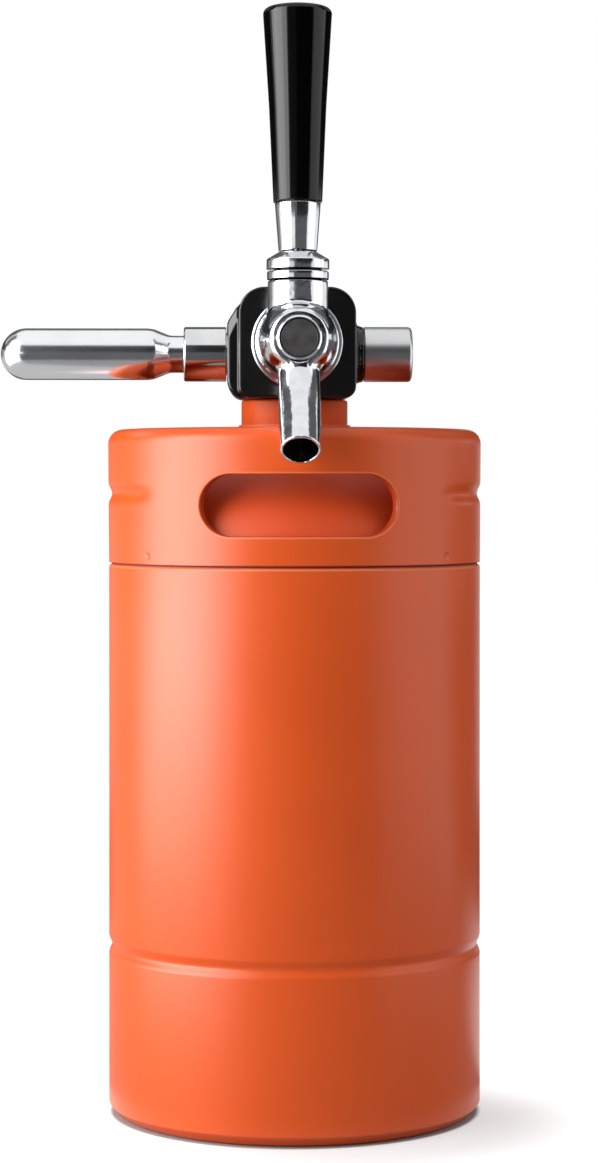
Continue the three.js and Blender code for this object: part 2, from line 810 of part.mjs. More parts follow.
function cartridgeSeal() {
  const top = cartridgeMouth - fitGap;
  const inner = pierceNeedleRadius + fitGap;
  return closed(ring(inner, socketBoreRadius - fitGap, top - cartridgeSealThickness, top, smallFacets));
}

function piercePin() {
  const flangeTop = cartridgeMouth - cartridgeSealThickness - 2 * fitGap;
  const flangeBottom = flangeTop - pierceFlangeThickness;
  const bore = pierceNeedleRadius / 2;
  return closed(revolve([
    [bore, flangeBottom - pierceStemLength],
    [pierceStemRadius, flangeBottom - pierceStemLength],
    [pierceStemRadius, flangeBottom],
    [socketBoreRadius - fitGap, flangeBottom],
    [socketBoreRadius - fitGap, flangeTop],
    [pierceNeedleRadius, flangeTop],
    [pierceNeedleRadius, flangeTop + pierceNeedleLength - pierceNeedleRadius],
    [bore, flangeTop + pierceNeedleLength],
  ], smallFacets));
}

// Steel gas cartridge with a round tip, a waisted shoulder and a threaded neck
function gasCartridge() {
  const neckEnd = cartridgeMouth;
  const neckStart = neckEnd + cartridgeNeckLength;
  const bodyStart = neckStart + cartridgeShoulderLength;
  const tipCentre = cartridgeTip - cartridgeRadius;
  const middle = (neckStart + bodyStart) / 2;
  const middleRadius = (cartridgeNeckRadius + cartridgeRadius) / 2;
  const bore = cartridgeRadius - cartridgeWall;
  return closed(revolve([
    [cartridgeMouthRadius, neckEnd],
    [cartridgeNeckRadius, neckEnd],
    [cartridgeNeckRadius, neckStart],
    [(cartridgeNeckRadius + middleRadius) / 2, (neckStart + middle) / 2 - cartridgeWall / 2],
    [middleRadius, middle - cartridgeWall / 2],
    [(cartridgeRadius + middleRadius) / 2, (bodyStart + middle) / 2 - cartridgeWall / 2],
    [cartridgeRadius, bodyStart],
    ...arc(0, tipCentre, cartridgeRadius, 0, 90, 4).slice(0, -1),
    [0, cartridgeTip],
    [0, cartridgeTip - cartridgeWall],
    ...arc(0, tipCentre, bore, 90, 0, 2).slice(1),
    [bore, bodyStart + cartridgeWall],
    [cartridgeMouthRadius, neckStart + cartridgeWall],
  ], wideFacets));
}

function regulatorSeat() {
  const start = pistonBoreFloor - regulatorSeatThickness - fitGap;
  const inner = pistonStemRadius + slideGap;
  return closed(ring(inner, regulatorSeatRadius - fitGap, start, start + regulatorSeatThickness, smallFacets));
}

function regulatorPiston() {
  const radius = pistonBoreRadius - fitGap;
  const end = pistonStart + pistonThickness;
  const grooveStart = pistonStart + (pistonThickness - pistonRingWidth) / 2 - fitGap;
  const grooveEnd = grooveStart + pistonRingWidth + 2 * fitGap;
  const grooveRadius = radius - pistonRingDepth - fitGap;
  return closed(revolve([
    [0, pistonStart - pistonStemLength],
    [pistonStemRadius, pistonStart - pistonStemLength],
    [pistonStemRadius, pistonStart],
    [radius, pistonStart],
    [radius, grooveStart],
    [grooveRadius, grooveStart],
    [grooveRadius, grooveEnd],
    [radius, grooveEnd],
    [radius, end],
    [0, end],
  ], mediumFacets));
}

function pistonRing() {
  const outer = pistonBoreRadius - fitGap;
  const start = pistonStart + (pistonThickness - pistonRingWidth) / 2;
  return closed(ring(outer - pistonRingDepth, outer, start, start + pistonRingWidth, mediumFacets));
}

// Centre line of a coil spring that climbs along +Z
class CoilCurve extends THREE.Curve {
  constructor(radius, bottom, length, turns) {
    super();
    Object.assign(this, { radius, bottom, length, turns });
  }

  getPoint(share, target = new THREE.Vector3()) {
    const angle = share * this.turns * turn;
    const height = this.bottom + share * this.length;
    return target.set(this.radius * Math.cos(angle), this.radius * Math.sin(angle), height);
  }
}

function circleOutline(radius, sides) {
  return new THREE.Shape(Array.from({ length: sides }, (_, i) => {
    const angle = turn * i / sides;
    return new THREE.Vector2(radius * Math.cos(angle), radius * Math.sin(angle));
  }));
}

function regulatorSpring() {
  const bottom = springStart + springWireRadius;
  const path = new CoilCurve(springCoilRadius, bottom, springLength - 2 * springWireRadius, springTurns);
  const outline = circleOutline(springWireRadius, 5);
  return closed(new THREE.ExtrudeGeometry(outline, { steps: springTurns * 7, extrudePath: path }));
}

function springFollower() {
  const end = followerStart + followerThickness;
  const half = followerKeyWidth / 2;
  const disc = rod(followerRadius, followerStart, end, mediumFacets);
  const keys = box(-half, half, -followerKeyReach, followerKeyReach, followerStart, end);
  const bore = rod(adjusterRadius + fitGap, followerStart - overrun, end + overrun, smallFacets);
  return shaped([disc, keys], [bore]);
}

// Steel bushing screwed into the head, with keyways that stop the follower from turning
function knobBushing() {
  const tube = ring(bushingBoreRadius, bushingRadius, bushingStart, bushingEnd, mediumFacets);
  const half = followerKeyWidth / 2 + fitGap;
  const reach = followerKeyReach + fitGap;
  const keyways = box(-half, half, -reach, reach, bushingStart + bushingShelf, bushingEnd + overrun);
  return shaped([tube], [keyways]);
}

function regulatorKnob() {
  const bore = bushingRadius + slideGap;
  return closed(revolve([
    [bore, knobStart],
    [knobRadius, knobStart],
    ...arc(knobRadius - knobEdgeRadius, knobEnd - knobEdgeRadius, knobEdgeRadius, 0, 90, 3),
    [0, knobEnd],
    [0, knobEnd - knobEndWall],
    [bore, knobEnd - knobEndWall],
  ], wideFacets));
}

function adjustingScrew() {
  const top = knobEnd - knobEndWall - fitGap;
  const tip = followerStart - adjusterTipPlay;
  return closed(revolve([
    [0, tip],
    [adjusterRadius, tip],
    [adjusterRadius, top - adjusterHeadLength],
    [adjusterHeadRadius, top - adjusterHeadLength],
    [adjusterHeadRadius, top],
    [0, top],
  ], smallFacets));
}

function tapShank() {
  return closed(revolve([
    [shankBoreRadius, shankBack],
    [shankRadius, shankBack],
    [shankRadius, couplingBack],
    [shankCollarRadius, couplingBack],
    [shankCollarRadius, shankFront],
    [shankChamberRadius, shankFront],
    [shankChamberRadius, shankChamberFloor],
    [shankBoreRadius, shankChamberFloor],
  ], mediumFacets));
}

// Round nut that clamps the tap to its shank, with a cup round the tap's flange
function couplingNut() {
  const bore = shankCollarRadius + fitGap;
  return closed(revolve([
    [bore, couplingBack],
    [couplingRadius - couplingEdge, couplingBack],
    [couplingRadius, couplingBack + couplingEdge],
    [couplingRadius, couplingFront - couplingEdge / 2],
    [couplingRadius - couplingEdge / 2, couplingFront],
    [couplingCupRadius, couplingFront],
    [couplingCupRadius, shankFront],
    [bore, shankFront],
  ], wideFacets));
}

// Domed outside of the tap's body, drawn forwards from the middle of the head
function tapOutside() {
  const flangeEnd = tapFlangeStart + tapFlangeLength;
  const noseStart = tapNoseFront - tapNoseLength;
  const domeLength = noseStart - flangeEnd;
  const dome = arc(0, 0, 1, 0, 90, 4).map(([across, along]) => {
    const radius = tapNoseRadius + (tapDomeRadius - tapNoseRadius) * across;
    return [radius, flangeEnd + domeLength * along];
  });
  return revolve([
    [0, tapFlangeStart],
    [tapFlangeRadius - tapFlangeEdge, tapFlangeStart],
    [tapFlangeRadius, tapFlangeStart + tapFlangeEdge],
    [tapFlangeRadius, flangeEnd - tapFlangeEdge],
    [tapFlangeRadius - tapFlangeEdge, flangeEnd],
    ...dome,
    [tapNoseRadius, tapNoseFront - tapNoseEdge],
    [tapNoseRadius - tapNoseEdge, tapNoseFront],
    [0, tapNoseFront],
  ], wideFacets);
}

// Centre line of the spout in the tap's own frame: +Y up and +Z forwards
function spoutPath(lead) {
  const start = new THREE.Vector3(0, -spoutStartDrop, tapNoseFront - spoutStartInset);
  const bend = new THREE.Vector3(0, -spoutBendDrop, tapNoseFront - spoutBendInset);
  const down = bend.clone().sub(start).normalize();
  const out = new THREE.Vector3(0, -Math.cos(spoutLean), Math.sin(spoutLean));
  const mouth = bend.clone().addScaledVector(out, spoutReach);
  const bendStart = bend.clone().addScaledVector(down, -spoutRadius);
  const bendEnd = bend.clone().addScaledVector(out, spoutRadius);
  const path = new THREE.CurvePath();
  path.add(new THREE.LineCurve3(start.clone().addScaledVector(down, -lead), bendStart));
  path.add(new THREE.QuadraticBezierCurve3(bendStart, bend, bendEnd));
  path.add(new THREE.LineCurve3(bendEnd, mouth.clone().addScaledVector(out, lead)));
  return path;
}

function spoutTube(radius, lead) {
  const outline = circleOutline(radius, spoutFacets);
  return new THREE.ExtrudeGeometry(outline, { steps: spoutSteps, extrudePath: spoutPath(lead) });
}

// Upright bar in the tap's frame, from one height above the tap axis to another
function upright(radius, bottom, top, facets) {
  return rod(radius, bottom, top, facets).rotateX(-Math.PI / 2).translate(0, 0, pivotForward);
}

// Radius of the hollow that follows the lever's ball, at a drop below its middle
function ballHollowRadius(drop) {
  const hollow = ballRadius + fitGap;
  return Math.sqrt(hollow * hollow - drop * drop);
}

function tapBody() {
  const columnHeight = leverArm + columnLip;
  const hollowFloor = leverArm - ballRadius - slideGap;
  const washerFloor = leverArm - washerBottomDrop - fitGap;
  const skirtFloor = leverArm - bonnetSkirtDrop - fitGap;
  const swing = (angle, drop) => drop * Math.tan(angle) + fingerRadius / Math.cos(angle) + slideGap;
  const fingerDrop = leverArm - tapBoreRadius + overrun;
  const slotBack = pivotForward - swing(leverPull - leverRestLean, fingerDrop);
  const slotFront = pivotForward + swing(leverRestLean, fingerDrop);
  const halfSlot = fingerSlotWidth / 2;
  const seatFront = tapFlangeStart + seatWall;
  return shaped([
    tapOutside(),
    upright(columnRadius, 0, columnHeight, mediumFacets),
    spoutTube(spoutRadius, 0),
  ], [
    spoutTube(spoutRadius - spoutWall, overrun),
    rod(tapBoreRadius, seatFront, tapNoseFront + overrun, mediumFacets),
    rod(seatHoleRadius, tapFlangeStart - overrun, seatFront + overrun, smallFacets),
    box(-halfSlot, halfSlot, 0, washerFloor + overrun, slotBack, slotFront),
    upright(ballHollowRadius(washerBottomDrop), hollowFloor, washerFloor + overrun, mediumFacets),
    upright(washerRadius + fitGap, washerFloor, columnHeight + overrun, mediumFacets),
    upright(bonnetSkirtRadius + fitGap, skirtFloor, columnHeight + overrun, mediumFacets),
  ]);
}

// Dark front plug with a sleeve that guides the front end of the valve shaft
function frontPlug() {
  const back = plugFront - plugLength;
  const guide = shaftRadius + fitGap;
  return closed(revolve([
    [guide, back],
    [plugSleeveRadius, back],
    [plugSleeveRadius, plugFront - plugFaceLength],
    [plugRadius, plugFront - plugFaceLength],
    [plugRadius, plugFront - plugEdge],
    [plugRadius - plugEdge, plugFront],
    [0, plugFront],
    [0, plugGuideFloor],
    [guide, plugGuideFloor],
  ], mediumFacets));
}

// Valve shaft with a cross slot for the lever's finger and a stem for the seal
function valveShaft() {
  const bar = revolve([
    [0, shaftBack],
    [shaftStemRadius, shaftBack],
    [shaftStemRadius, shaftShoulder],
    [shaftRadius, shaftShoulder],
    [shaftRadius, shaftFront],
    [0, shaftFront],
  ], smallFacets);
  const halfWidth = shaftSlotWidth / 2;
  const halfLength = fingerTipRadius + slideGap;
  const slotMiddle = pivotForward + leverArm * Math.tan(leverRestLean);
  const high = shaftRadius + overrun;
  const slot = box(-halfWidth, halfWidth, -high, high, slotMiddle - halfLength, slotMiddle + halfLength);
  return shaped([bar], [slot]);
}

function valveSeal() {
  const inner = shaftStemRadius + fitGap;
  const start = shankFront - valveSealThickness;
  return closed(ring(inner, valveSealRadius, start, shankFront, smallFacets));
}

function sealNut() {
  const bore = rod(shaftStemRadius + fitGap, sealNutBack - overrun, sealNutFront + overrun, smallFacets);
  return shaped([rod(sealNutRadius, sealNutBack, sealNutFront, 6)], [bore]);
}

// Plastic washer whose hollow follows the underside of the lever's ball
function ballWasher() {
  const middleDrop = (washerBottomDrop + washerTopDrop) / 2;
  return closed(revolve([
    [ballHollowRadius(washerBottomDrop), -washerBottomDrop],
    [washerRadius, -washerBottomDrop],
    [washerRadius, -washerTopDrop],
    [ballHollowRadius(washerTopDrop), -washerTopDrop],
    [ballHollowRadius(middleDrop), -middleDrop],
  ], mediumFacets));
}

// Domed nut over the ball: its top is a sphere round the pivot, slotted fore and aft
function leverBonnet() {
  const hollow = ballRadius + fitGap;
  const edgeAngle = Math.acos(bonnetRadius / bonnetDomeRadius) / degree;
  const cap = revolve([
    [hollow, -bonnetSkirtDrop],
    [bonnetSkirtRadius, -bonnetSkirtDrop],
    [bonnetSkirtRadius, bonnetBottomRise],
    [bonnetRadius, bonnetBottomRise],
    ...arc(0, 0, bonnetDomeRadius, edgeAngle, 90, 3).slice(0, -1),
    [0, bonnetDomeRadius],
    [0, hollow],
    ...arc(0, 0, hollow, 90, 0, 3).slice(1),
  ], wideFacets);
  const halfWidth = leverRodRadius + ferruleGap;
  const forward = bonnetDomeRadius * Math.sin(leverPull - leverRestLean) + halfWidth;
  const backward = bonnetDomeRadius * Math.sin(leverRestLean) + halfWidth;
  const outline = stadium(forward + backward, 2 * halfWidth);
  const slot = new THREE.ExtrudeGeometry(outline, {
    depth: bonnetDomeRadius + overrun,
    bevelEnabled: false,
    curveSegments: 4,
  });
  slot.rotateZ(Math.PI / 2).translate(0, (backward - forward) / 2, 0);
  return shaped([cap], [slot]);
}

function bonnetLockRing() {
  const bottom = columnLip + fitGap;
  const top = bottom + lockRingHeight;
  return closed(revolve([
    [bonnetSkirtRadius + fitGap, bottom],
    [lockRingRadius - lockRingEdge, bottom],
    [lockRingRadius, bottom + lockRingEdge],
    [lockRingRadius, top - lockRingEdge],
    [lockRingRadius - lockRingEdge, top],
    [bonnetSkirtRadius + fitGap, top],
  ], wideFacets));
}

// Ball, rod and finger of the lever in one piece, drawn round the pivot
function leverStem() {
  const tip = leverArm / Math.cos(leverRestLean);
  const neckTop = -tip + fingerNeckLength;
  const fingerJoin = -Math.sqrt(ballRadius ** 2 - fingerRadius ** 2);
  const rodJoin = Math.sqrt(ballRadius ** 2 - leverRodRadius ** 2);
  const lowAngle = Math.asin(fingerJoin / ballRadius) / degree;
  const highAngle = Math.asin(rodJoin / ballRadius) / degree;
  const tipAngle = Math.acos(fingerNeckRadius / fingerTipRadius) / degree;
  return closed(revolve([
    [0, -tip - fingerTipRadius],
    ...arc(0, -tip, fingerTipRadius, -90, tipAngle, 4).slice(1),
    [fingerNeckRadius, neckTop - fingerRadius],
    [fingerRadius, neckTop],
    ...arc(0, 0, ballRadius, lowAngle, highAngle, 5),
    [leverRodRadius, leverThreadStart],
    [leverThreadRadius, leverThreadStart],
    [leverThreadRadius, leverThreadTop],
    [0, leverThreadTop],
  ], smallFacets));
}

// Chrome cone under the handle, hollowed so that it swings clear over the bonnet
function handleFerrule() {
  const hollow = bonnetDomeRadius + ferruleGap;
  const edge = Math.acos(ferruleBottomRadius / hollow) / degree;
  const bore = leverThreadRadius + fitGap;
  const rimAngle = Math.acos(bore / hollow) / degree;
  return closed(revolve([
    ...arc(0, 0, hollow, rimAngle, edge, 3),
    [ferruleTopRadius, ferruleTopRise],
    [bore, ferruleTopRise],
  ], wideFacets));
}

function handleInsert() {
  const bore = leverThreadRadius + fitGap;
  return closed(ring(bore, insertRadius, handleBottomRise + fitGap, handleBottomRise + insertRise, smallFacets));
}

// Slender tapered handle with a rounded top edge and a blind bore for its insert
function tapHandle() {
  const bore = insertRadius + fitGap;
  const boreTop = handleBottomRise + insertRise + fitGap;
  const crownStart = handleTopRise - handleCrown;
  const edgeCentre = handleTopRadius - handleEdgeRadius;
  const middle = (handleBottomRise + crownStart) / 2;
  return closed(revolve([
    [bore, handleBottomRise],
    [handleBottomRadius, handleBottomRise],
    [(handleBottomRadius + handleTopRadius) / 2 - fitGap, middle],
    ...arc(edgeCentre, crownStart - handleEdgeRadius, handleEdgeRadius, 0, 90, 3),
    [0, handleTopRise],
    [0, boreTop],
    [bore, boreTop],
  ], wideFacets));
}

function piece(name, geometry, material) {
  const mesh = new THREE.Mesh(geometry, material);
  mesh.name = name;
  return mesh;
}

function kegBody() {
  const keg = new THREE.Group();
  keg.add(piece('outer_shell', outerShell(), powderCoat));
  keg.add(piece('base_cup', baseCup(), powderCoat));
  keg.add(piece('inner_vessel', innerVessel(), bareSteel));
  keg.add(piece('neck_ring', neckRing(), powderCoat));
  keg.add(piece('top_collar', topCollar(), powderCoat));
  return keg;
}

// Head body and what hangs below it in the keg
function headPieces() {
  const head = new THREE.Group();
  const body = piece('head_body', headBody(), blackHead);
  body.position.z = headBaseHeight;
  const tube = piece('dip_tube', dipTube(), bareSteel);
  const seal = piece('dip_tube_seal', dipTubeSeal(), rubber);
  tube.position.y = -dipTubeForward;
  seal.position.y = -dipTubeForward;
  const valve = piece('gas_check_valve', gasCheckValve(), rubber);
  valve.position.set(gasOutletSide, gasOutletBack, spigotBottomHeight);
  head.add(body, tube, seal, valve, piece('neck_gasket', neckGasket(), rubber));
  return head;
}

// Pieces on the gas axis to the left of the head
function cartridgePieces() {
  const side = new THREE.Group();
  side.position.z = gasAxisHeight;
  side.rotation.y = -Math.PI / 2;
  side.add(piece('cartridge_socket', cartridgeSocket(), polishedSteel));
  side.add(piece('cartridge_seal', cartridgeSeal(), rubber));
  side.add(piece('pierce_pin', piercePin(), bareSteel));
  side.add(piece('gas_cartridge', gasCartridge(), polishedSteel));
  return side;
}

// Pieces on the gas axis to the right of the head
function regulatorPieces() {
  const side = new THREE.Group();
  side.position.z = gasAxisHeight;
  side.rotation.y = Math.PI / 2;
  side.add(piece('regulator_seat', regulatorSeat(), whitePlastic));
  side.add(piece('regulator_piston', regulatorPiston(), brass));
  side.add(piece('piston_ring', pistonRing(), rubber));
  side.add(piece('regulator_spring', regulatorSpring(), bareSteel));
  side.add(piece('spring_follower', springFollower(), brass));
  side.add(piece('knob_bushing', knobBushing(), brass));
  side.add(piece('regulator_knob', regulatorKnob(), brushedSteel));
  side.add(piece('adjusting_screw', adjustingScrew(), bareSteel));
  return side;
}

// Pieces on the tap's axis in front of the head
function tapPieces() {
  const tap = new THREE.Group();
  tap.position.z = tapAxisHeight;
  tap.rotation.x = Math.PI / 2;
  tap.add(piece('tap_shank', tapShank(), bareSteel));
  tap.add(piece('coupling_nut', couplingNut(), chrome));
  tap.add(piece('tap_body', tapBody(), chrome));
  tap.add(piece('front_plug', frontPlug(), plugPlastic));
  tap.add(piece('valve_shaft', valveShaft(), bareSteel));
  tap.add(piece('valve_seal', valveSeal(), rubber));
  tap.add(piece('seal_nut', sealNut(), bareSteel));
  return tap;
}

function bonnetPieces() {
  const bonnet = new THREE.Group();
  bonnet.position.set(0, -pivotForward, pivotHeight);
  bonnet.add(piece('ball_washer', ballWasher(), whitePlastic));
  bonnet.add(piece('lever_bonnet', leverBonnet(), chrome));
  bonnet.add(piece('bonnet_lock_ring', bonnetLockRing(), chrome));
  return bonnet;
}

// The lever and its handle lean back a little when the tap is shut
function leverPieces() {
  const lever = new THREE.Group();
  lever.position.set(0, -pivotForward, pivotHeight);
  lever.rotation.x = -leverRestLean;
  lever.add(piece('lever_stem', leverStem(), polishedSteel));
  lever.add(piece('handle_ferrule', handleFerrule(), chrome));
  lever.add(piece('handle_insert', handleInsert(), brass));
  lever.add(piece('tap_handle', tapHandle(), blackHandle));
  return lever;
}

const group = new THREE.Group();
group.add(kegBody());
group.add(headPieces());
group.add(cartridgePieces());
group.add(regulatorPieces());
group.add(tapPieces());
group.add(bonnetPieces());
group.add(leverPieces());

export default group;
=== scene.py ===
import math

import bmesh
import bpy
import numpy as np
from mathutils import Matrix, Vector


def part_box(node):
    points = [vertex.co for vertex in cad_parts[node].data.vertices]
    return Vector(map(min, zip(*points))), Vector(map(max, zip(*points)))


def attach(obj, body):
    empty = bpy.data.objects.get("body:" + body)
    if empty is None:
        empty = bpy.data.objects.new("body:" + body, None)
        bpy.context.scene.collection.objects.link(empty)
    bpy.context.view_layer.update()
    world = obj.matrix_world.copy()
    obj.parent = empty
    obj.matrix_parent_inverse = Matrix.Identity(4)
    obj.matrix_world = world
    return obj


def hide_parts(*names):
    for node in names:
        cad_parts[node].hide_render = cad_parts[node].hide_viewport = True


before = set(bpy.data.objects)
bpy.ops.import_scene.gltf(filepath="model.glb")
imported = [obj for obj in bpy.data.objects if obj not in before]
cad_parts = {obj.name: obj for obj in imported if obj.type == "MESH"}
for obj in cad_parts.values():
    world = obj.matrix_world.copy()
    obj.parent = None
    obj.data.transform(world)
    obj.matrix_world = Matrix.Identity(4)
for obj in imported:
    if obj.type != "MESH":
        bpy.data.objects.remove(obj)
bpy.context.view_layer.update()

# The photograph's frame and the camera, measured at the keg's axis
PHOTO_WIDTH, PHOTO_HEIGHT = 598, 1163
PIXELS_PER_METRE = 2342
EYE_DISTANCE = 1.25
EYE_SIDE = -0.031
EYE_HEIGHT = 0.266
AXIS_COLUMN, EYE_ROW = 294.5, 485

# Corner radii, and the clearance between pieces that fit into each other
CRISP, FINE, LIGHT, SOFT, EASED, FULL = 0.0002, 0.0003, 0.0004, 0.0005, 0.0006, 0.0008
FIT = 0.0003

# Sheet metal of the keg
SHEET_WALL = 0.0008
BASE_EDGE, FOOT_BEVEL, FOOT_GAP, FOOT_CORNER = 0.0046, 0.0036, 0.0009, 0.0012
WALL_LOW, WALL_HIGH = 0.035, 0.15
GROOVE_HEIGHT, GROOVE_WIDTH, GROOVE_DEPTH = 0.0715, 0.008, 0.0013
SEAM_HEIGHT, SEAM_EDGE, SEAM_GAP = 0.2325, 0.0014, 0.0009
LAP_RADIUS, LAP_HEIGHT, LAP_EDGE = 0.0779, 0.005, 0.002
DOME_RADIUS, DOME_RISE, DOME_DROP = 0.077, 0.06, 0.0045
SHELL_NECK_RADIUS, NECK_FILLET = 0.02375, 0.005
BASE_RING, BASE_RING_RISE, BASE_CORNER = (0.052, 0.0532, 0.0588, 0.06), 0.0012, 0.0016
VESSEL_WALL, VESSEL_CORNER, VESSEL_SHOULDER, VESSEL_CROWN = 0.0007, 0.014, 0.225, 0.008

# Top collar and its handle slots
COLLAR_CORNER, COLLAR_LIP_RADIUS, COLLAR_ROLL, COLLAR_LIP_DROP = 0.006, 0.0655, 0.0025, 0.0026
SIDE_GROOVE_HEIGHT, SIDE_GROOVE_WIDTH, SIDE_GROOVE_DEPTH = 0.2625, 0.0094, 0.0015
SIDE_GROOVE_HALF_ANGLE, SIDE_GROOVE_FADE = math.radians(33), math.radians(9)
SLOT_WIDTH, SLOT_HEIGHT, SLOT_LEVEL = 0.08, 0.025, 0.2578
SLOT_ROLL, SLOT_LIP = 0.0009, 0.0033
SLOT_PATCH_ANGLE = math.radians(44)
SLOT_SPREADS = (0.06, 0.14, 0.25, 0.38, 0.52, 0.68, 0.84, 1.0)
SIDE_STEPS, TOP_STEPS, FLANK_STEPS = 44, 48, 40
DIMPLE_ANGLE, DIMPLE_LEVEL, DIMPLE_RADIUS, DIMPLE_REACH = math.radians(51), 0.2368, 0.0019, 0.0791

# Tints of the powder coat, 0 to 255 on screen, with the painted shade and painted highlight tints, and where these
# marks begin and end
COAT_TINTS = ((220, 82, 18), (224, 85, 20))
COAT_PAINTED_SHADE_TINT, COAT_PAINTED_HIGHLIGHT, COAT_UNDER_COLLAR_SHADE = (120, 36, 8), (246, 158, 112), (208, 62, 14)
COAT_BROW_SHADE, COAT_SLOT_LIP_SHADE, COAT_LOW_EDGE_SHADE, COAT_GAP_SHADE = (128, 26, 8), (140, 30, 8), (96, 20, 6), (124, 14, 3)
MARK_BLUR, SHADE_UNDER_COLLAR_RISE, LOW_EDGE_SHADE_BLUR = 0.0002, 0.0006, 0.0005
GAP_SHADE_START, GAP_SHADE_END = 0.003, 0.004
BROW_SHADE_DROP, BROW_SHADE_RISE = 0.0003, 0.0009

# Neck
NECK_SHOULDER_DROP, NECK_EDGE = 0.0185, 0.0009
NECK_SPIGOT_RADIUS, NECK_BORE_RADIUS, GASKET_SEAT_RADIUS = 0.0205, 0.0169, 0.02
GASKET_THICKNESS = 0.0022

# Head
HEAD_LEFT, HEAD_RIGHT, HEAD_HEIGHT, HEAD_FRONT, HEAD_BACK = 0.024, 0.0252, 0.0466, 0.027, 0.024
HEAD_TOP_CORNER, HEAD_LOW_CORNER, HEAD_EDGE = 0.011, 0.005, 0.0009
SPIGOT_LENGTH, SPIGOT_RADIUS = 0.0144, 0.0166
GAS_RISE, TAP_RISE = 0.0194, 0.0226
BOSS_MIDDLE, BOSS_STEPS = 0.02, ((0.0123, 0.0078), (0.0119, 0.0092))
FIELD_MARGIN, HEAD_CELL, TAP_CELL = 0.001, 0.0006, 0.00046

# Fairings of the head: reach, rise over and drop under the gas axis, half depth, bevel
LEFT_LUG = (0.0288, 0.0134, 0.015, 0.0135, 0.0024)
RIGHT_LUG = (0.0263, 0.0125, 0.015, 0.015, 0.001)
LUG_TOP_RUN, LUG_TOP_INSET, LUG_FOOT_RUN, LUG_FOOT_INSET = 0.0052, 0.0002, 0.004, 0.0005
LUG_BLEND, LUG_BASE_BLEND, LUG_SIDE_BLEND = 0.003, 0.002, 0.0014
LUG_BEVEL_LEAN = (0.6, 0.75, 0.28)

# Bores and hollows in the head
DIP_FORWARD, DIP_RADIUS, DIP_STOP, LIQUID_BORE = 0.009, 0.00475, 0.0113, 0.003
DIP_SEAL_RADIUS, DIP_SEAL_LEVEL, DIP_SEAL_HALF = 0.0066, 0.0045, 0.0015
GAS_HOLE_SIDE, GAS_HOLE_BACK, GAS_HOLE_RADIUS, GAS_HOLE_DROP = 0.012, 0.004, 0.002, 0.0063
SHANK_BORE, SHANK_FLOOR = 0.0083, 0.0055
SOCKET_BORE, SOCKET_FLOOR = 0.0093, 0.0177
CHANNEL_RADIUS, CHANNEL_MIDDLE, CHANNEL_HALF = 0.0012, 0.006, 0.014
SEAT_POCKET, SEAT_MIDDLE, SEAT_HALF = 0.0043, 0.0095, 0.0015
PISTON_BORE, PISTON_FLOOR, BUSHING_BORE, BUSHING_FLOOR = 0.0083, 0.011, 0.0096, 0.024

# Tap
TAP_START, TAP_LENGTH = 0.0417, 0.04
FLANGE_RADIUS, FLANGE_LENGTH, FLANGE_EDGE = 0.0174, 0.004, 0.0009
TAP_DOME_RADIUS, TAP_DOME_OVERLAP, TAP_DOME_EASE = 0.0166, 0.0015, 0.8
NOSE_RADIUS, NOSE_LENGTH = 0.0102, 0.0013
NOSE_LIP_RADIUS, NOSE_LIP_BEVEL, NOSE_GROOVE_RADIUS, NOSE_GROOVE_DEPTH = 0.0091, 0.0008, 0.0097, 0.0034
COLUMN_RADIUS, COLUMN_RISE, COLUMN_BLEND = 0.0123, 0.0241, 0.0011
SPOUT_RADIUS, SPOUT_MOUTH_RADIUS, SPOUT_WALL, SPOUT_EDGE, SPOUT_BLEND = 0.0086, 0.0081, 0.0011, 0.00045, 0.002
SPOUT_LEAN, SPOUT_REACH, SPOUT_OVERRUN = math.radians(41.3), 0.0304, 0.004
SPOUT_START_INSET, SPOUT_START_DROP = 0.0115, 0.008
SPOUT_BEND_INSET, SPOUT_BEND_DROP = 0.0044, 0.0225
TAP_BORE_RADIUS, TAP_BORE_START, TAP_PASSAGE = 0.0079, 0.0026, 0.0056
PIVOT_RISE, BALL_RADIUS = 0.019, 0.0074
WASHER_RADIUS, WASHER_DROP, WELL_RADIUS, WELL_DROP = 0.0098, 0.0061, 0.01, 0.0035
FINGER_SLOT_HALF, FINGER_SLOT_MIDDLE, FINGER_SLOT_REACH, FINGER_SLOT_DROP = 0.0028, 0.0015, 0.0044, 0.0055
# Reach of the painted shade either side of a bonnet joint
JOINT_SHADE_WIDTH = 0.0007

# Cartridge and its socket
SOCKET_START, SOCKET_STEM, SOCKET_RADIUS, SOCKET_RIM = 0.018, 0.009, 0.01165, 0.0009
SOCKET_THREAD, SOCKET_STOP, SOCKET_PIN_BORE = 0.0082, 0.0289, 0.0027
CARTRIDGE_MOUTH, CARTRIDGE_NECK, CARTRIDGE_SHOULDER = 0.0361, 0.017, 0.008
CARTRIDGE_RADIUS, CARTRIDGE_NECK_RADIUS, CARTRIDGE_MOUTH_RADIUS = 0.011, 0.0079, 0.0016
CARTRIDGE_WALL, CARTRIDGE_KNEE, CARTRIDGE_KNEE_INSET = 0.0015, 0.0014, 0.0004
CARTRIDGE_BENDS, CARTRIDGE_END_RUN = (0.006, 0.006, 0.004), 0.012
SEAL_BORE, PIN_BORE, PIN_RADIUS, PIN_TIP_RADIUS = 0.0012, 0.00045, 0.0024, 0.0009
PIN_FLANGE_RADIUS, PIN_FLANGE_START, PIN_FLANGE_END = 0.0079, 0.006, 0.008

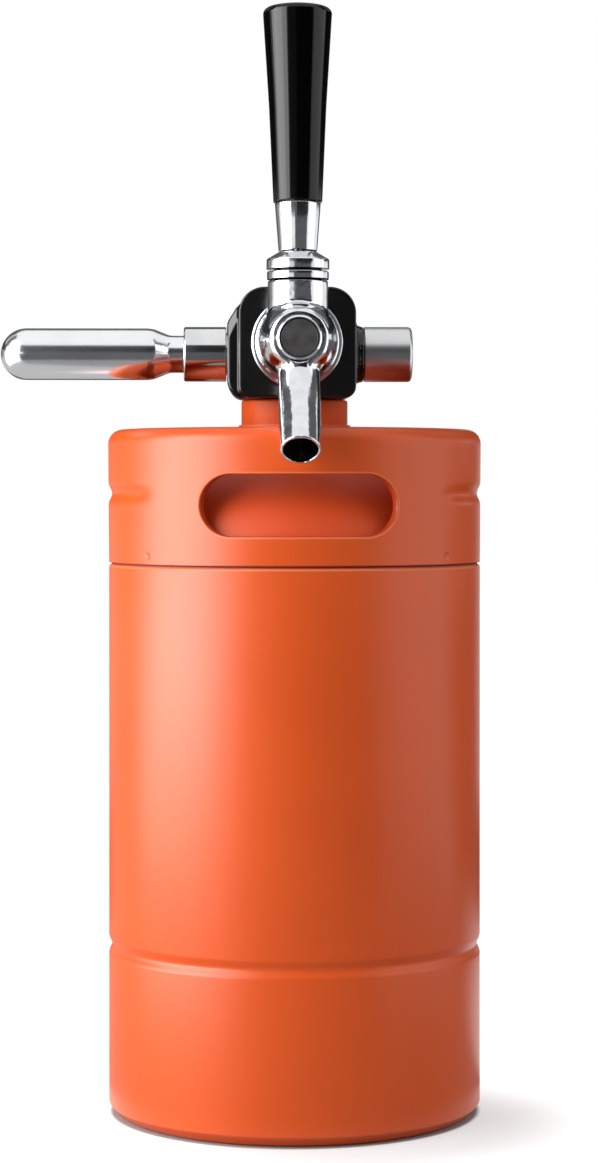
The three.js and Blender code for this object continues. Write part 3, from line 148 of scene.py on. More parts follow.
# Knob, coupling nut, plug, lock ring and bonnet
KNOB_HUB, KNOB_WALL, KNOB_ROUND = 0.0098, 0.004, 0.0018
NUT_BORE, NUT_CUP, NUT_CUP_DEPTH, NUT_BACK_EDGE, NUT_FACE_EDGE = 0.0113, 0.018, 0.0025, 0.0012, 0.0007
PLUG_SLEEVE, PLUG_STEM, PLUG_RADIUS, PLUG_HEAD, PLUG_FLOOR, PLUG_INSET = 0.0048, 0.0063, 0.0076, 0.005, 0.0025, 0.0004
RING_BORE, RING_BEVEL_RADIUS = 0.01, 0.0104
BONNET_DOME, BONNET_SHOULDER, BONNET_BORE, BONNET_CORNER = 0.0186, 0.009, 0.0097, 0.0013
LEVER_SLOT_HALF, LEVER_SLOT_TOP, LEVER_SWING = 0.0029, 0.02, math.radians(20)

# Lever, ferrule and handle, measured from the pivot
LEVER_LEAN = math.radians(3)
FINGER_TIP, FINGER_WAIST, FINGER_WAIST_RISE, FINGER_RADIUS, FINGER_RISE = 0.0021, 0.001, 0.0036, 0.0018, 0.0054
ROD_RADIUS, ROD_TOP, ROD_THREAD_RADIUS, ROD_THREAD_TOP = 0.0025, 0.0203, 0.0039, 0.0507
FERRULE_HOLLOW, FERRULE_BORE, FERRULE_TOP = 0.019, 0.0042, 0.037
FERRULE_FOOT_RADIUS, FERRULE_TOP_RADIUS = 0.0079, 0.0094
HANDLE_LENGTH, HANDLE_BORE, HANDLE_BORE_DEPTH = 0.0806, 0.0063, 0.0163
HANDLE_FOOT, HANDLE_WAIST, HANDLE_WAIST_RISE, HANDLE_BEND = 0.01, 0.01178, 0.04, 0.3
HANDLE_CROWN, HANDLE_CROWN_DROP, HANDLE_CROWN_CORNER = 0.0143, 0.0006, 0.0025

# Check valve under the head
VALVE_BORE, VALVE_STEM, VALVE_LIP, VALVE_FOOT = 0.00085, 0.0017, 0.0035, 0.00175
VALVE_LIP_LOW, VALVE_LIP_HIGH = 0.0011, 0.0022

# Studio
WORLD_LIGHT = 0.38
FLOOR_REACH = 6
# Floor glow: dimmed round a point off to the front right as a painted shadow, and put out at the keg's foot as a
# painted contact shadow
FLOOR_GREY, FLOOR_SHADOW_GLOW, FLOOR_SHADOW_FADE, FLOOR_SHADOW_SHIFT = 0.4, 0.55, (0.05, 0.12), (0.03, -0.035, 0)
FLOOR_CONTACT_SHADOW = (0.077, 0.0797)
CARD_STEPS, CARD_CLEAR = 8, 0.0015
CARD_SHADES = {
    "black": (0.02, 0.02, 0.02, 1), "dark": (0.11, 0.113, 0.12, 1),
    "grey": (0.31, 0.31, 0.31, 1), "pale": (0.56, 0.56, 0.56, 1),
}

# Cards: from azimuth to azimuth, through rows of (distance, level), and the shade
CARDS = {
    "card_top": (-6, 52, [(1.5, 1.45), (1.5, 0.49)], "black"),
    "card_top_left": (-35, -6, [(1.5, 1.45), (1.5, 0.49)], "dark"),
    "card_front": (-16, 48, [(1.5, 0.49), (1.5, 0.3)], "dark"),
    "card_low": (-35, 52, [(1.5, 0.3), (1.5, CARD_CLEAR), (0.6, CARD_CLEAR)], "dark"),
    "card_floor": (-25, 120, [(0.6, CARD_CLEAR), (0.1, CARD_CLEAR)], "grey"),
    "card_floor_left": (-200, -25, [(0.6, CARD_CLEAR), (0.1, CARD_CLEAR)], "pale"),
    "card_left": (-160, -112, [(1.15, 0.47), (1.15, 0.26)], "grey"),
    "card_left_low": (-160, -105, [(1.15, 0.26), (1.15, CARD_CLEAR), (0.6, CARD_CLEAR)], "pale"),
    "card_under": (110, 214, [(1.2, 2 * CARD_CLEAR), (0.5, 2 * CARD_CLEAR)], "black"),
    "card_foot": (160, 200, [(1.2, 0.24), (1.2, 0.02)], "grey"),
    "card_side": (104, 150, [(1.1, 0.32), (1.1, 0.02)], "dark"),
    "card_end": (-180, -160, [(1.15, 1.7), (1.15, 0.02)], "dark"),
    "card_back": (130, 230, [(1.2, 1.75), (1.2, 0.66)], "dark"),
}
# Cards that stand on both sides
PAIRED_CARDS = {
    "card_high": (88, 122, [(1.1, 2.0), (1.1, 0.7)], "dark"),
    "card_middle": (105, 165, [(1.1, 0.7), (1.1, 0.47)], "black"),
    "card_rim": (136, 165, [(1.1, 0.47), (1.1, 0.32)], "dark"),
}

# Lamps: azimuth, distance, width, lower and upper edge, radiance, and whether it lights diffusely and in reflections
LAMPS = {
    "key": (-67, 1.3, 1.45, 0.1, 1.5, 4.8, True, True),
    "key_core": (-70, 1.25, 0.7, 0.12, 1.1, 2.6, False, True),
    "key_foot": (-77, 0.75, 0.8, 0.01, 0.26, 3.2, True, True),
    "fill": (81, 1.5, 1.3, 0.1, 1.5, 0.3, True, True),
    "fill_soft": (72, 1.6, 1.5, 0.1, 1.7, 1.0, True, False),
}


def box(node):
    """The corners of a CAD node's box as vectors."""
    low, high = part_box(node)
    return Vector(low), Vector(high)


def linked(name, data):
    """A new object in the scene that holds the data."""
    item = bpy.data.objects.new(name, data)
    bpy.context.collection.objects.link(item)
    return item


def drawn(name, points, faces):
    """A new mesh of points and faces."""
    mesh = bpy.data.meshes.new(name)
    mesh.from_pydata(points, [], faces)
    return mesh


# Places that the CAD nodes' boxes give
base_high = box("base_cup")[1]
shell_high = box("outer_shell")[1]
neck_low, neck_high = box("neck_ring")
collar_low, collar_high = box("top_collar")
vessel_low, vessel_high = box("inner_vessel")
lock_low, lock_high = box("bonnet_lock_ring")
head_base = box("head_body")[0].z + SPIGOT_LENGTH
gas_level = head_base + GAS_RISE
tap_level = head_base + TAP_RISE
nose_front = TAP_START + TAP_LENGTH
pivot = Vector((0, (lock_low.y + lock_high.y) / 2, tap_level + PIVOT_RISE))


# Shader and geometry trees

def operator(operation, swapped=False):
    """A method that adds a Math node; swapped takes the operands the other way round."""
    def apply(self, other):
        first, second = (other, self) if swapped else (self, other)
        return self.tree.maths(operation, first, second)
    return apply


class Socket:
    """An output whose arithmetic adds Math nodes to its tree."""

    def __init__(self, tree, output):
        self.tree = tree
        self.output = output

    __add__ = operator("ADD")
    __radd__ = operator("ADD", True)
    __sub__ = operator("SUBTRACT")
    __rsub__ = operator("SUBTRACT", True)
    __mul__ = operator("MULTIPLY")
    __pow__ = operator("POWER")


class Tree:
    """A node tree that is filled by one method."""

    def __init__(self, tree):
        self.tree = tree

    def add(self, kind, settings=None, inputs=None, output=0):
        node = self.tree.nodes.new(kind)
        for name, value in (settings or {}).items():
            setattr(node, name, value)
        for key, value in (inputs or {}).items():
            if isinstance(value, Socket):
                self.tree.links.new(value.output, node.inputs[key])
            else:
                node.inputs[key].default_value = value
        return Socket(self, node.outputs[output])

    def maths(self, operation, *values):
        return self.add("ShaderNodeMath", {"operation": operation}, dict(enumerate(values)))

    def split(self, vector):
        first = self.add("ShaderNodeSeparateXYZ", None, {0: vector})
        return [Socket(self, output) for output in first.output.node.outputs]

    def mix(self, factor, first, second):
        settings = {"data_type": "RGBA"}
        return self.add("ShaderNodeMix", settings, {"Factor": factor, 6: first, 7: second}, 2)

    def step(self, value, start, end):
        """A smooth step from 0 at start to 1 at end."""
        settings = {"interpolation_type": "SMOOTHSTEP"}
        return self.add("ShaderNodeMapRange", settings, {0: value, 1: start, 2: end})

    def band(self, value, rise, fall):
        """1 between a smooth rise and a smooth fall, each from start to end."""
        return self.step(value, *rise) * (1 - self.step(value, *fall))


def srgb(red, green, blue):
    """A colour given as 0 to 255 on screen, as linear values with alpha."""
    def linear(value):
        share = value / 255
        return share / 12.92 if share <= 0.04045 else ((share + 0.055) / 1.055) ** 2.4
    return (linear(red), linear(green), linear(blue), 1)


class Finish(Tree):
    """A material with one Principled surface."""

    def __init__(self, name, **constants):
        self.material = bpy.data.materials.new(name)
        self.material.use_nodes = True
        super().__init__(self.material.node_tree)
        self.surface = self.tree.nodes["Principled BSDF"]
        for key, value in constants.items():
            self.surface.inputs[key.replace("_", " ")].default_value = value

    def place(self):
        return self.add("ShaderNodeTexCoord", None, None, "Object")

    def noise(self, scale, detail=2, vector=None):
        inputs = {"Vector": vector or self.place(), "Scale": scale, "Detail": detail}
        return self.add("ShaderNodeTexNoise", None, inputs)

    def rings(self, along, scale):
        """Fine rings that follow one value."""
        return self.add("ShaderNodeTexNoise", {"noise_dimensions": "1D"}, {"W": along, "Scale": scale, "Detail": 1})

    def stretched(self, factors):
        return self.add("ShaderNodeMapping", None, {"Vector": self.place(), "Scale": factors})

    def feed(self, **links):
        for key, value in links.items():
            self.tree.links.new(value.output, self.surface.inputs[key.replace("_", " ")])

    def bump(self, height, distance, strength=1.0):
        normal = self.add("ShaderNodeBump", None, {"Height": height, "Distance": distance, "Strength": strength})
        self.feed(Normal=normal)


def dimple_marks(finish, tint, skin, dimples):
    """Shallow dents with painted shade along their upper rim: the tint and the skin's height with them."""
    z = finish.split(finish.place())[2]
    for dimple in dimples:
        offset = finish.add("ShaderNodeVectorMath", {"operation": "DISTANCE"}, {0: finish.place(), 1: dimple}, 1)
        dent = 1 - finish.step(offset, DIMPLE_RADIUS * 0.4, DIMPLE_RADIUS)
        skin = skin - dent * 9
        # Painted shade: a dark crescent on each dent's upper rim
        brow_shade = dent * (1 - dent) * 4 * finish.step(z, DIMPLE_LEVEL - BROW_SHADE_DROP, DIMPLE_LEVEL + BROW_SHADE_RISE)
        tint = finish.mix(brow_shade * 0.8, tint, srgb(*COAT_BROW_SHADE))
    return tint, skin


def slot_marks(finish, tint):
    """Painted highlight on the slots' rolled edges, and painted shade inside them and along the collar's lower edge.
    """
    x, _, z = finish.split(finish.place())
    over = finish.maths("MAXIMUM", finish.maths("ABSOLUTE", x) - (SLOT_WIDTH - SLOT_HEIGHT) / 2, 0.0)
    away = (over * over + (z - SLOT_LEVEL) ** 2) ** 0.5 - SLOT_HEIGHT / 2
    # Painted highlight: a lighter band along each slot's rolled edge
    rolled_edge_highlight = finish.band(away, (SLOT_ROLL * 0.35, SLOT_ROLL * 0.6), (SLOT_ROLL * 0.9, SLOT_ROLL * 1.3))
    tint = finish.mix(rolled_edge_highlight * 0.4, tint, srgb(*COAT_PAINTED_HIGHLIGHT))
    # Painted shade on the lip that turns in
    tint = finish.mix(0.6 - finish.step(away, 0.0, SLOT_ROLL * 0.3) * 0.6, tint, srgb(*COAT_SLOT_LIP_SHADE))
    # Painted shade along the collar's lower edge, over the seam
    collar_edge = SEAM_HEIGHT + SEAM_GAP
    low_edge_shade = 1 - finish.step(z, collar_edge, collar_edge + LOW_EDGE_SHADE_BLUR)
    return finish.mix(low_edge_shade * 0.6, tint, srgb(*COAT_LOW_EDGE_SHADE))


def seam_marks(finish, tint, roughness):
    """Painted highlight on the shell's edge, redder painted shade and a duller coat under the collar, and dark
    painted shade in the seam's gap.
    """
    z = finish.split(finish.place())[2]
    over = z - SEAM_HEIGHT
    # Painted highlight on the shell's rounded edge below the seam
    edge = finish.band(over, (-SEAM_EDGE, -SEAM_EDGE / 2), (-MARK_BLUR, 0.0))
    tint = finish.mix(edge * 0.45, tint, srgb(*COAT_PAINTED_HIGHLIGHT))
    # Painted shade under the collar; the coat is also made duller there
    shade_under_collar = finish.step(over, -MARK_BLUR, SHADE_UNDER_COLLAR_RISE)
    tint = finish.mix(shade_under_collar * 0.5, tint, srgb(*COAT_UNDER_COLLAR_SHADE))
    # Painted shade in the gap between the shell and the collar, above the seam
    lap = finish.band(over, (0.0, MARK_BLUR), (GAP_SHADE_START, GAP_SHADE_END))
    tint = finish.mix(lap * 0.9, tint, srgb(*COAT_GAP_SHADE))
    return tint, roughness + shade_under_collar * 0.2 + lap * 0.3


def powder_coat(name, dimples=(), slots=False, seam=False, shade=0.0, ior=1.5):
    """Satin orange powder coat: a fine orange-peel skin, a faint drift of colour, and painted shade by a given share.
    """
    finish = Finish(name, Metallic=0.0, IOR=ior)
    drift = finish.noise(14, 2)
    tint = finish.mix(finish.step(drift, 0.35, 0.65), *[srgb(*colour) for colour in COAT_TINTS])
    # Painted shade: darkens the whole coat by the given share, for the neck under the head
    tint = finish.mix(shade, tint, srgb(*COAT_PAINTED_SHADE_TINT))
    grain = finish.noise(2600, 2)
    peel = finish.noise(520, 1)
    tint, skin = dimple_marks(finish, tint, peel * 0.75 + grain * 0.25, dimples)
    roughness = 0.30 + grain * 0.09
    if slots:
        tint = slot_marks(finish, tint)
    if seam:
        tint, roughness = seam_marks(finish, tint, roughness)
    finish.feed(Base_Color=tint, Roughness=roughness)
    finish.bump(skin, 0.00006, 0.35)
    return finish.material


def chrome(name, roughness, patches, waver_strength, shaded_joints=()):
    """Chrome: polishing leaves duller patches and a surface that wavers a little; near-black painted shade lies along
    each joint.
    """
    finish = Finish(name, Metallic=1.0)
    haze = finish.noise(180, 3)
    tint = finish.mix(finish.step(haze, 0.3, 0.7), srgb(222, 224, 227), srgb(234, 236, 239))
    dull = finish.step(finish.noise(210, 2), 0.42, 0.66)
    waver = finish.noise(150, 2)
    # Painted shade: near black in a band round each joint's level
    for level in shaded_joints:
        beside = finish.maths("ABSOLUTE", finish.split(finish.place())[2] - level)
        tint = finish.mix(1 - finish.step(beside, JOINT_SHADE_WIDTH * 0.6, JOINT_SHADE_WIDTH), tint, srgb(22, 22, 23))
    finish.feed(Base_Color=tint, Roughness=roughness + dull * patches + haze * 0.03)
    finish.bump(waver, 0.0006, waver_strength)
    return finish.material


def turned_steel(name, axis, colour, roughness, groove):
    """Lathe-turned steel with fine rings round one axis."""
    finish = Finish(name, Metallic=1.0)
    along = finish.split(finish.place())["XYZ".index(axis)]
    rings = finish.rings(along, 9000)
    smear = finish.noise(60, 3)
    tint = finish.mix(finish.step(smear, 0.3, 0.7), colour, srgb(217, 219, 221))
    finish.feed(Base_Color=tint, Roughness=roughness + rings * 0.06 + smear * 0.04)
    finish.bump(rings, 0.00002, groove)
    return finish.material


def drawn_steel(name):
    """Deep-drawn cartridge steel, satin, with faint lines along its length."""
    finish = Finish(name, Metallic=1.0)
    lines = finish.noise(1, 3, finish.stretched((60, 2600, 2600)))
    haze = finish.noise(45, 3)
    tint = finish.mix(finish.step(haze, 0.3, 0.7), srgb(234, 236, 238), srgb(242, 244, 246))
    finish.feed(Base_Color=tint, Roughness=0.15 + lines * 0.05 + haze * 0.02)
    finish.bump(lines, 0.00002, 0.25)
    return finish.material


def moulded_black(name, colour, roughness, ripple, index):
    """Black plastic whose face sinks a little."""
    finish = Finish(name, IOR=index)
    dust = finish.noise(900, 3)
    tint = finish.mix(finish.step(dust, 0.35, 0.75), colour, [part * 1.6 for part in colour[:3]] + [1])
    sink = finish.noise(55, 1)
    finish.feed(Base_Color=tint, Roughness=roughness + dust * 0.05)
    finish.bump(sink, 0.0006, ripple)
    return finish.material


def satin_plug(name):
    """Dark grey plug with a faint turned face."""
    finish = Finish(name, Metallic=0.35)
    x, _, z = finish.split(finish.place())
    radius = (x * x + (z - tap_level) ** 2) ** 0.5
    rings = finish.rings(radius, 4200)
    tint = finish.mix(finish.step(finish.noise(160, 2), 0.3, 0.7), srgb(72, 70, 71), srgb(88, 86, 87))
    finish.feed(Base_Color=tint, Roughness=0.34 + rings * 0.1)
    finish.bump(rings, 0.00003, 0.3)
    return finish.material


def soft_rubber(name):
    """Black rubber with a faint bloom."""
    finish = Finish(name, IOR=1.45)
    bloom = finish.noise(420, 3)
    tint = finish.mix(finish.step(bloom, 0.35, 0.7), srgb(24, 24, 25), srgb(38, 38, 39))
    finish.feed(Base_Color=tint, Roughness=0.62 + bloom * 0.15)
    finish.bump(bloom, 0.00005, 0.3)
    return finish.material


def cast_metal(name, low, high, roughness):
    """Bare steel or brass of the pieces inside."""
    finish = Finish(name, Metallic=1.0)
    stain = finish.noise(70, 4)
    grain = finish.noise(1, 2, finish.stretched((900, 900, 120)))
    tint = finish.mix(finish.step(stain, 0.3, 0.7), low, high)
    finish.feed(Base_Color=tint, Roughness=roughness + grain * 0.1)
    finish.bump(grain, 0.00003, 0.3)
    return finish.material


def moulded_white(name):
    """White plastic of the seat and the washer."""
    finish = Finish(name, IOR=1.46)
    mottle = finish.noise(300, 2)
    tint = finish.mix(finish.step(mottle, 0.3, 0.7), srgb(226, 224, 216), srgb(236, 234, 228))
    finish.feed(Base_Color=tint, Roughness=0.42 + mottle * 0.1)
    finish.bump(mottle, 0.00004, 0.3)
    return finish.material


# Outlines of turned pieces: (radius, place along the axis, corner radius)

def rounded(corners, turn_step=math.radians(9)):
    """Points of an outline whose corners are rounded by arcs of the given radii."""
    points = []
    for i, corner in enumerate(corners):
        here = Vector(corner[:2])
        radius = corner[2] if len(corner) > 2 else 0
        if radius == 0 or i in (0, len(corners) - 1):
            points.append(here)
            continue
        before = (Vector(corners[i - 1][:2]) - here).normalized()
        after = (Vector(corners[i + 1][:2]) - here).normalized()
        half = before.angle(after) / 2
        reach = radius / math.tan(half)
        centre = here + (before + after).normalized() * (radius / math.sin(half))
        start, end = here + before * reach - centre, here + after * reach - centre
        sweep = start.angle(end)
        steps = max(2, round(sweep / turn_step))
        for k in range(steps + 1):
            share = k / steps
            mixed = start * math.sin((1 - share) * sweep) + end * math.sin(share * sweep)
            points.append(centre + mixed / math.sin(sweep))
    return points


def arc(centre_radius, centre_height, radius, start, end, steps):
    """Points of an arc, with angles in degrees from the radial direction."""
    angles = np.radians(np.linspace(start, end, steps + 1))
    return [Vector((centre_radius + radius * math.cos(a), centre_height + radius * math.sin(a))) for a in angles]


def turning_tree():
    """Geometry Nodes group that turns an outline, given as a row of points in XZ, round the Z axis."""
    group = bpy.data.node_groups.new("Turned form", "GeometryNodeTree")
    for name, kind in (("Outline", "Geometry"), ("Points", "Int"), ("Segments", "Int"), ("Finish", "Material")):
        group.interface.new_socket(name, in_out="INPUT", socket_type="NodeSocket" + kind)
    group.interface.new_socket("Form", in_out="OUTPUT", socket_type="NodeSocketGeometry")
    tree = Tree(group)
    given = group.nodes.new("NodeGroupInput")
    outline, points, segments, finish = [Socket(tree, output) for output in given.outputs[:4]]
    grid_sizes = {"Size X": 1.0, "Size Y": 1.0, "Vertices X": segments + 1, "Vertices Y": points}
    grid = tree.add("GeometryNodeMeshGrid", None, grid_sizes)
    across, along, _ = tree.split(tree.add("GeometryNodeInputPosition"))
    row = tree.maths("ROUND", (along + 0.5) * (points - 1))
    spot = tree.add("GeometryNodeSampleIndex", {"data_type": "FLOAT_VECTOR", "domain": "POINT"},
                    {"Geometry": outline, "Value": tree.add("GeometryNodeInputPosition"), "Index": row})
    turned = tree.add("ShaderNodeVectorRotate", {"rotation_type": "Z_AXIS"},
                      {"Vector": spot, "Angle": (across + 0.5) * math.tau})
    placed = tree.add("GeometryNodeSetPosition", None, {"Geometry": grid, "Position": turned})
    joined = tree.add("GeometryNodeMergeByDistance", None, {"Geometry": placed, "Distance": 1e-7})
    smooth = tree.add("GeometryNodeSetShadeSmooth", None, {"Geometry": joined})
    whole = tree.add("GeometryNodeRealizeInstances", None, {"Geometry": smooth})
    coated = tree.add("GeometryNodeSetMaterial", None, {"Geometry": whole, "Material": finish})
    result = group.nodes.new("NodeGroupOutput")
    group.links.new(coated.output, result.inputs[0])
    return group


def facing_out(mesh):
    """Merges doubles and makes every face point outwards."""
    work = bmesh.new()
    work.from_mesh(mesh)
    bmesh.ops.remove_doubles(work, verts=work.verts, dist=1e-7)
    bmesh.ops.dissolve_degenerate(work, edges=work.edges, dist=1e-8)
    bmesh.ops.recalc_face_normals(work, faces=work.faces)
    work.to_mesh(mesh)
    work.free()
    mesh.shade_smooth()
    mesh.set_sharp_from_angle(angle=math.radians(38))


def shown(mesh, node, material=None, body="dispensing_head"):
    """Links a finished mesh as a piece that rides on a body and stands for a CAD node."""
    piece = linked(mesh.name, mesh)
    if material:
        mesh.materials.clear()
        mesh.materials.append(material)
    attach(piece, body)
    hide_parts(node)


def worked(mesh, add_modifier):
    """A new mesh under the same name: the given one, changed by a modifier."""
    holder = linked(mesh.name + "_work", mesh)
    add_modifier(holder)
    bpy.context.view_layer.update()
    evaluated = holder.evaluated_get(bpy.context.evaluated_depsgraph_get())
    result = bpy.data.meshes.new_from_object(evaluated)
    name = mesh.name
    bpy.data.objects.remove(holder)
    bpy.data.meshes.remove(mesh)
    result.name = name
    result.shade_smooth()
    return result


def turned_mesh(name, points, material, segments=96):
    """The mesh that the turning group makes of an outline; a closed outline returns to its start."""
    points = [(radius, 0, height) for radius, height in points]
    if points[0][0] > 1e-9 or points[-1][0] > 1e-9:
        points.append(points[0])
    values = {"Points": len(points), "Segments": segments, "Finish": material}

    def turn(holder):
        modifier = holder.modifiers.new("Turned form", "NODES")
        modifier.node_group = turning
        for item in turning.interface.items_tree:
            if item.in_out == "INPUT" and item.name in values:
                modifier[item.identifier] = values[item.name]
        holder.update_tag()
    return worked(drawn(name, points, []), turn)


def turned_piece(name, points, node, material, place=None, segments=96, body="dispensing_head"):
    mesh = turned_mesh(name, points, material, segments)
    if place:
        mesh.transform(place)
    facing_out(mesh)
    shown(mesh, node, body=body)


def lying(direction, level):
    """Stands a piece drawn along +Z along -X, +X or -Y at a level."""
    turns = {"left": ("Y", -90), "right": ("Y", 90), "front": ("X", 90)}
    axis, angle = turns[direction]
    return Matrix.Translation((0, 0, level)) @ Matrix.Rotation(math.radians(angle), 4, axis)


lever_place = Matrix.Translation(pivot) @ Matrix.Rotation(-LEVER_LEAN, 4, "X")
upright_at_pivot = Matrix.Translation(pivot)
turning = turning_tree()

# The finishes
collar_dimples = [
    (side * DIMPLE_REACH * math.sin(DIMPLE_ANGLE), face * DIMPLE_REACH * math.cos(DIMPLE_ANGLE), DIMPLE_LEVEL)
    for side in (-1, 1) for face in (-1, 1)
]
# Levels where painted shade darkens the bonnet's chrome joints
bonnet_shaded_joints = (lock_low.z, lock_high.z + FIT)
orange = powder_coat("powder_coat")
# The neck's coat carries painted shade, for the head that shades it, and reflects less
orange_neck = powder_coat("powder_coat_neck", shade=0.3, ior=1.2)
orange_shell = powder_coat("powder_coat_shell", seam=True)
orange_collar = powder_coat("powder_coat_collar", collar_dimples, slots=True)
tap_chrome = chrome("tap_chrome", 0.08, 0.08, 0.32, bonnet_shaded_joints)
bright_chrome = chrome("bright_chrome", 0.07, 0.03, 0.06, bonnet_shaded_joints)
socket_steel = turned_steel("socket_steel", "X", srgb(228, 230, 232), 0.07, 0.10)
knob_steel = turned_steel("knob_steel", "X", srgb(214, 215, 216), 0.27, 0.22)
cartridge_steel = drawn_steel("cartridge_steel")
head_black = moulded_black("head_black", srgb(14, 13, 12), 0.10, 0.4, 1.5)
handle_black = moulded_black("handle_black", srgb(2, 2, 2), 0.08, 0.05, 1.4)
plug_grey = satin_plug("plug_grey")
seal_rubber = soft_rubber("seal_rubber")
bare_steel = cast_metal("bare_steel", srgb(186, 188, 190), srgb(204, 206, 208), 0.22)
inner_brass = cast_metal("inner_brass", srgb(176, 142, 74), srgb(196, 164, 92), 0.24)
white_plastic = moulded_white("white_plastic")


# The keg

def dome_height(radius, inset=0.0):
    share = radius / (DOME_RADIUS - inset)
    return SEAM_HEIGHT - DOME_DROP + (DOME_RISE - inset) * math.sqrt(1 - share * share)


def dome_points(start_height, end_radius, inset, steps):
    rise, width = DOME_RISE - inset, DOME_RADIUS - inset
    start = math.asin((start_height - SEAM_HEIGHT + DOME_DROP) / rise)
    angles = np.linspace(start, math.acos(end_radius / width), steps + 1)
    return [Vector((width * math.cos(a), SEAM_HEIGHT - DOME_DROP + rise * math.sin(a))) for a in angles]


def groove_points(radius, steps):
    """The pressed groove near the foot of the wall, going up."""
    shares = np.linspace(0, 1, steps + 1)
    return [Vector((radius - GROOVE_DEPTH * (1 - math.cos(s * math.tau)) / 2,
                    GROOVE_HEIGHT + (s - 0.5) * GROOVE_WIDTH)) for s in shares]


def neck_fillet(radius, fillet, inset, steps):
    height = dome_height(radius + fillet, inset)
    return arc(radius + fillet, height + fillet, fillet, 252, 180, steps)


def keg_shell():
    """The drawn outer wall from its foot over the lap and the dome to the neck."""
    radius = shell_high.x
    inner = radius - SHEET_WALL
    dome_start = SEAM_HEIGHT + LAP_HEIGHT + LAP_EDGE
    inner_neck = SHELL_NECK_RADIUS - SHEET_WALL
    outside = [
        *rounded([(radius - BASE_EDGE, FOOT_GAP), (radius - FOOT_BEVEL, FOOT_GAP, LIGHT),
                  (radius, BASE_EDGE, FOOT_CORNER), (radius, WALL_LOW)]),
        *groove_points(radius, 16),
        Vector((radius, WALL_HIGH)),
        *arc(radius - SEAM_EDGE, SEAM_HEIGHT - SEAM_EDGE, SEAM_EDGE, 0, 90, 6),
        Vector((LAP_RADIUS, SEAM_HEIGHT)),
        Vector((LAP_RADIUS, SEAM_HEIGHT + LAP_HEIGHT)),
        *dome_points(dome_start, SHELL_NECK_RADIUS + NECK_FILLET, 0, 24),
        *neck_fillet(SHELL_NECK_RADIUS, NECK_FILLET, 0, 8),
        Vector((SHELL_NECK_RADIUS, shell_high.z)),
    ]
    inside = [
        Vector((inner_neck, shell_high.z)),
        *reversed(neck_fillet(inner_neck, NECK_FILLET + SHEET_WALL, SHEET_WALL, 4)),
        *reversed(dome_points(dome_start, inner_neck + NECK_FILLET + SHEET_WALL, SHEET_WALL, 12)),
        Vector((LAP_RADIUS - SHEET_WALL, SEAM_HEIGHT + LAP_HEIGHT)),
        Vector((LAP_RADIUS - SHEET_WALL, SEAM_HEIGHT - SHEET_WALL)),
        Vector((inner, SEAM_HEIGHT - SHEET_WALL - SEAM_EDGE)),
        *reversed(groove_points(inner, 8)),
        Vector((inner, BASE_EDGE)),
        Vector((radius - BASE_EDGE, SHEET_WALL)),
    ]
    turned_piece("keg_shell", [*outside, *inside], "outer_shell", orange_shell,
                 segments=192, body="keg")


def base_plate():
    """The pressed base with its raised ring."""
    radius, rim = base_high.x, base_high.z
    foot, ring_start, ring_end, end = BASE_RING
    raised = BASE_RING_RISE + SHEET_WALL
    corners = [
        (0, 0), (foot, 0, FULL), (ring_start, BASE_RING_RISE, FULL), (ring_end, BASE_RING_RISE, FULL), (end, 0, FULL),
        (radius, 0, BASE_CORNER), (radius, rim), (radius - SHEET_WALL, rim), (radius - SHEET_WALL, SHEET_WALL, FULL),
        (end + SHEET_WALL, SHEET_WALL, EASED), (ring_end, raised, EASED), (ring_start, raised, EASED),
        (foot - SHEET_WALL, SHEET_WALL, EASED), (0, SHEET_WALL),
    ]
    turned_piece("base_plate", rounded(corners), "base_cup", orange, segments=160, body="keg")


def inner_vessel():
    """The vessel that holds the beer: a round foot, a wall and a crown up to the neck."""
    outer, top = vessel_high.x, vessel_high.z
    neck = NECK_SPIGOT_RADIUS + FIT + VESSEL_WALL
    rise = neck_low.z + VESSEL_CROWN - VESSEL_SHOULDER

    def side(inset, steps):
        width, corner = outer - inset, VESSEL_CORNER - inset
        foot = vessel_low.z + inset
        reach = math.degrees(math.acos((neck - inset) / width))
        curve = arc(0, 0, 1, 0, reach, steps)
        return [
            Vector((0, foot)),
            *arc(width - corner, foot + corner, corner, -90, 0, 8),
            *[Vector((point.x * width, VESSEL_SHOULDER + point.y * (rise - inset))) for point in curve],
            Vector((neck - inset, top)),
        ]
    points = [*side(0, 24), *reversed(side(VESSEL_WALL, 24))]
    turned_piece("inner_vessel_skin", points, "inner_vessel", bare_steel, body="keg")


def neck_tube():
    """The thick neck with its gasket seat."""
    radius, top = neck_high.x, neck_high.z
    seat = top - GASKET_THICKNESS - FIT
    shoulder = top - NECK_SHOULDER_DROP
    corners = [
        (NECK_BORE_RADIUS, neck_low.z), (NECK_SPIGOT_RADIUS, neck_low.z), (NECK_SPIGOT_RADIUS, shoulder),
        (radius, shoulder, FINE), (radius, top, NECK_EDGE), (GASKET_SEAT_RADIUS, top, FINE),
        (GASKET_SEAT_RADIUS, seat), (NECK_BORE_RADIUS, seat, FINE),
    ]
    turned_piece("neck_tube", rounded(corners), "neck_ring", orange_neck, segments=128, body="keg")


# The top collar: a sheet whose columns bend round the two handle slots

def stadium_point(share, grow):
    """A point of the slot's outline, grown by a distance, at a share of the way round."""
    radius = SLOT_HEIGHT / 2
    reach = SLOT_WIDTH / 2 - radius
    side, along = int(share * 4) % 4, share * 4 % 1
    sign = 1 if side < 2 else -1
    if side in (0, 2):
        normal = Vector((0, sign))
        spot = Vector((sign * reach * (2 * along - 1), sign * radius))
    else:
        angle = sign * math.pi / 2 - along * math.pi
        normal = Vector((math.cos(angle), math.sin(angle)))
        spot = Vector((sign * reach, 0)) + normal * radius
    return spot + normal * grow


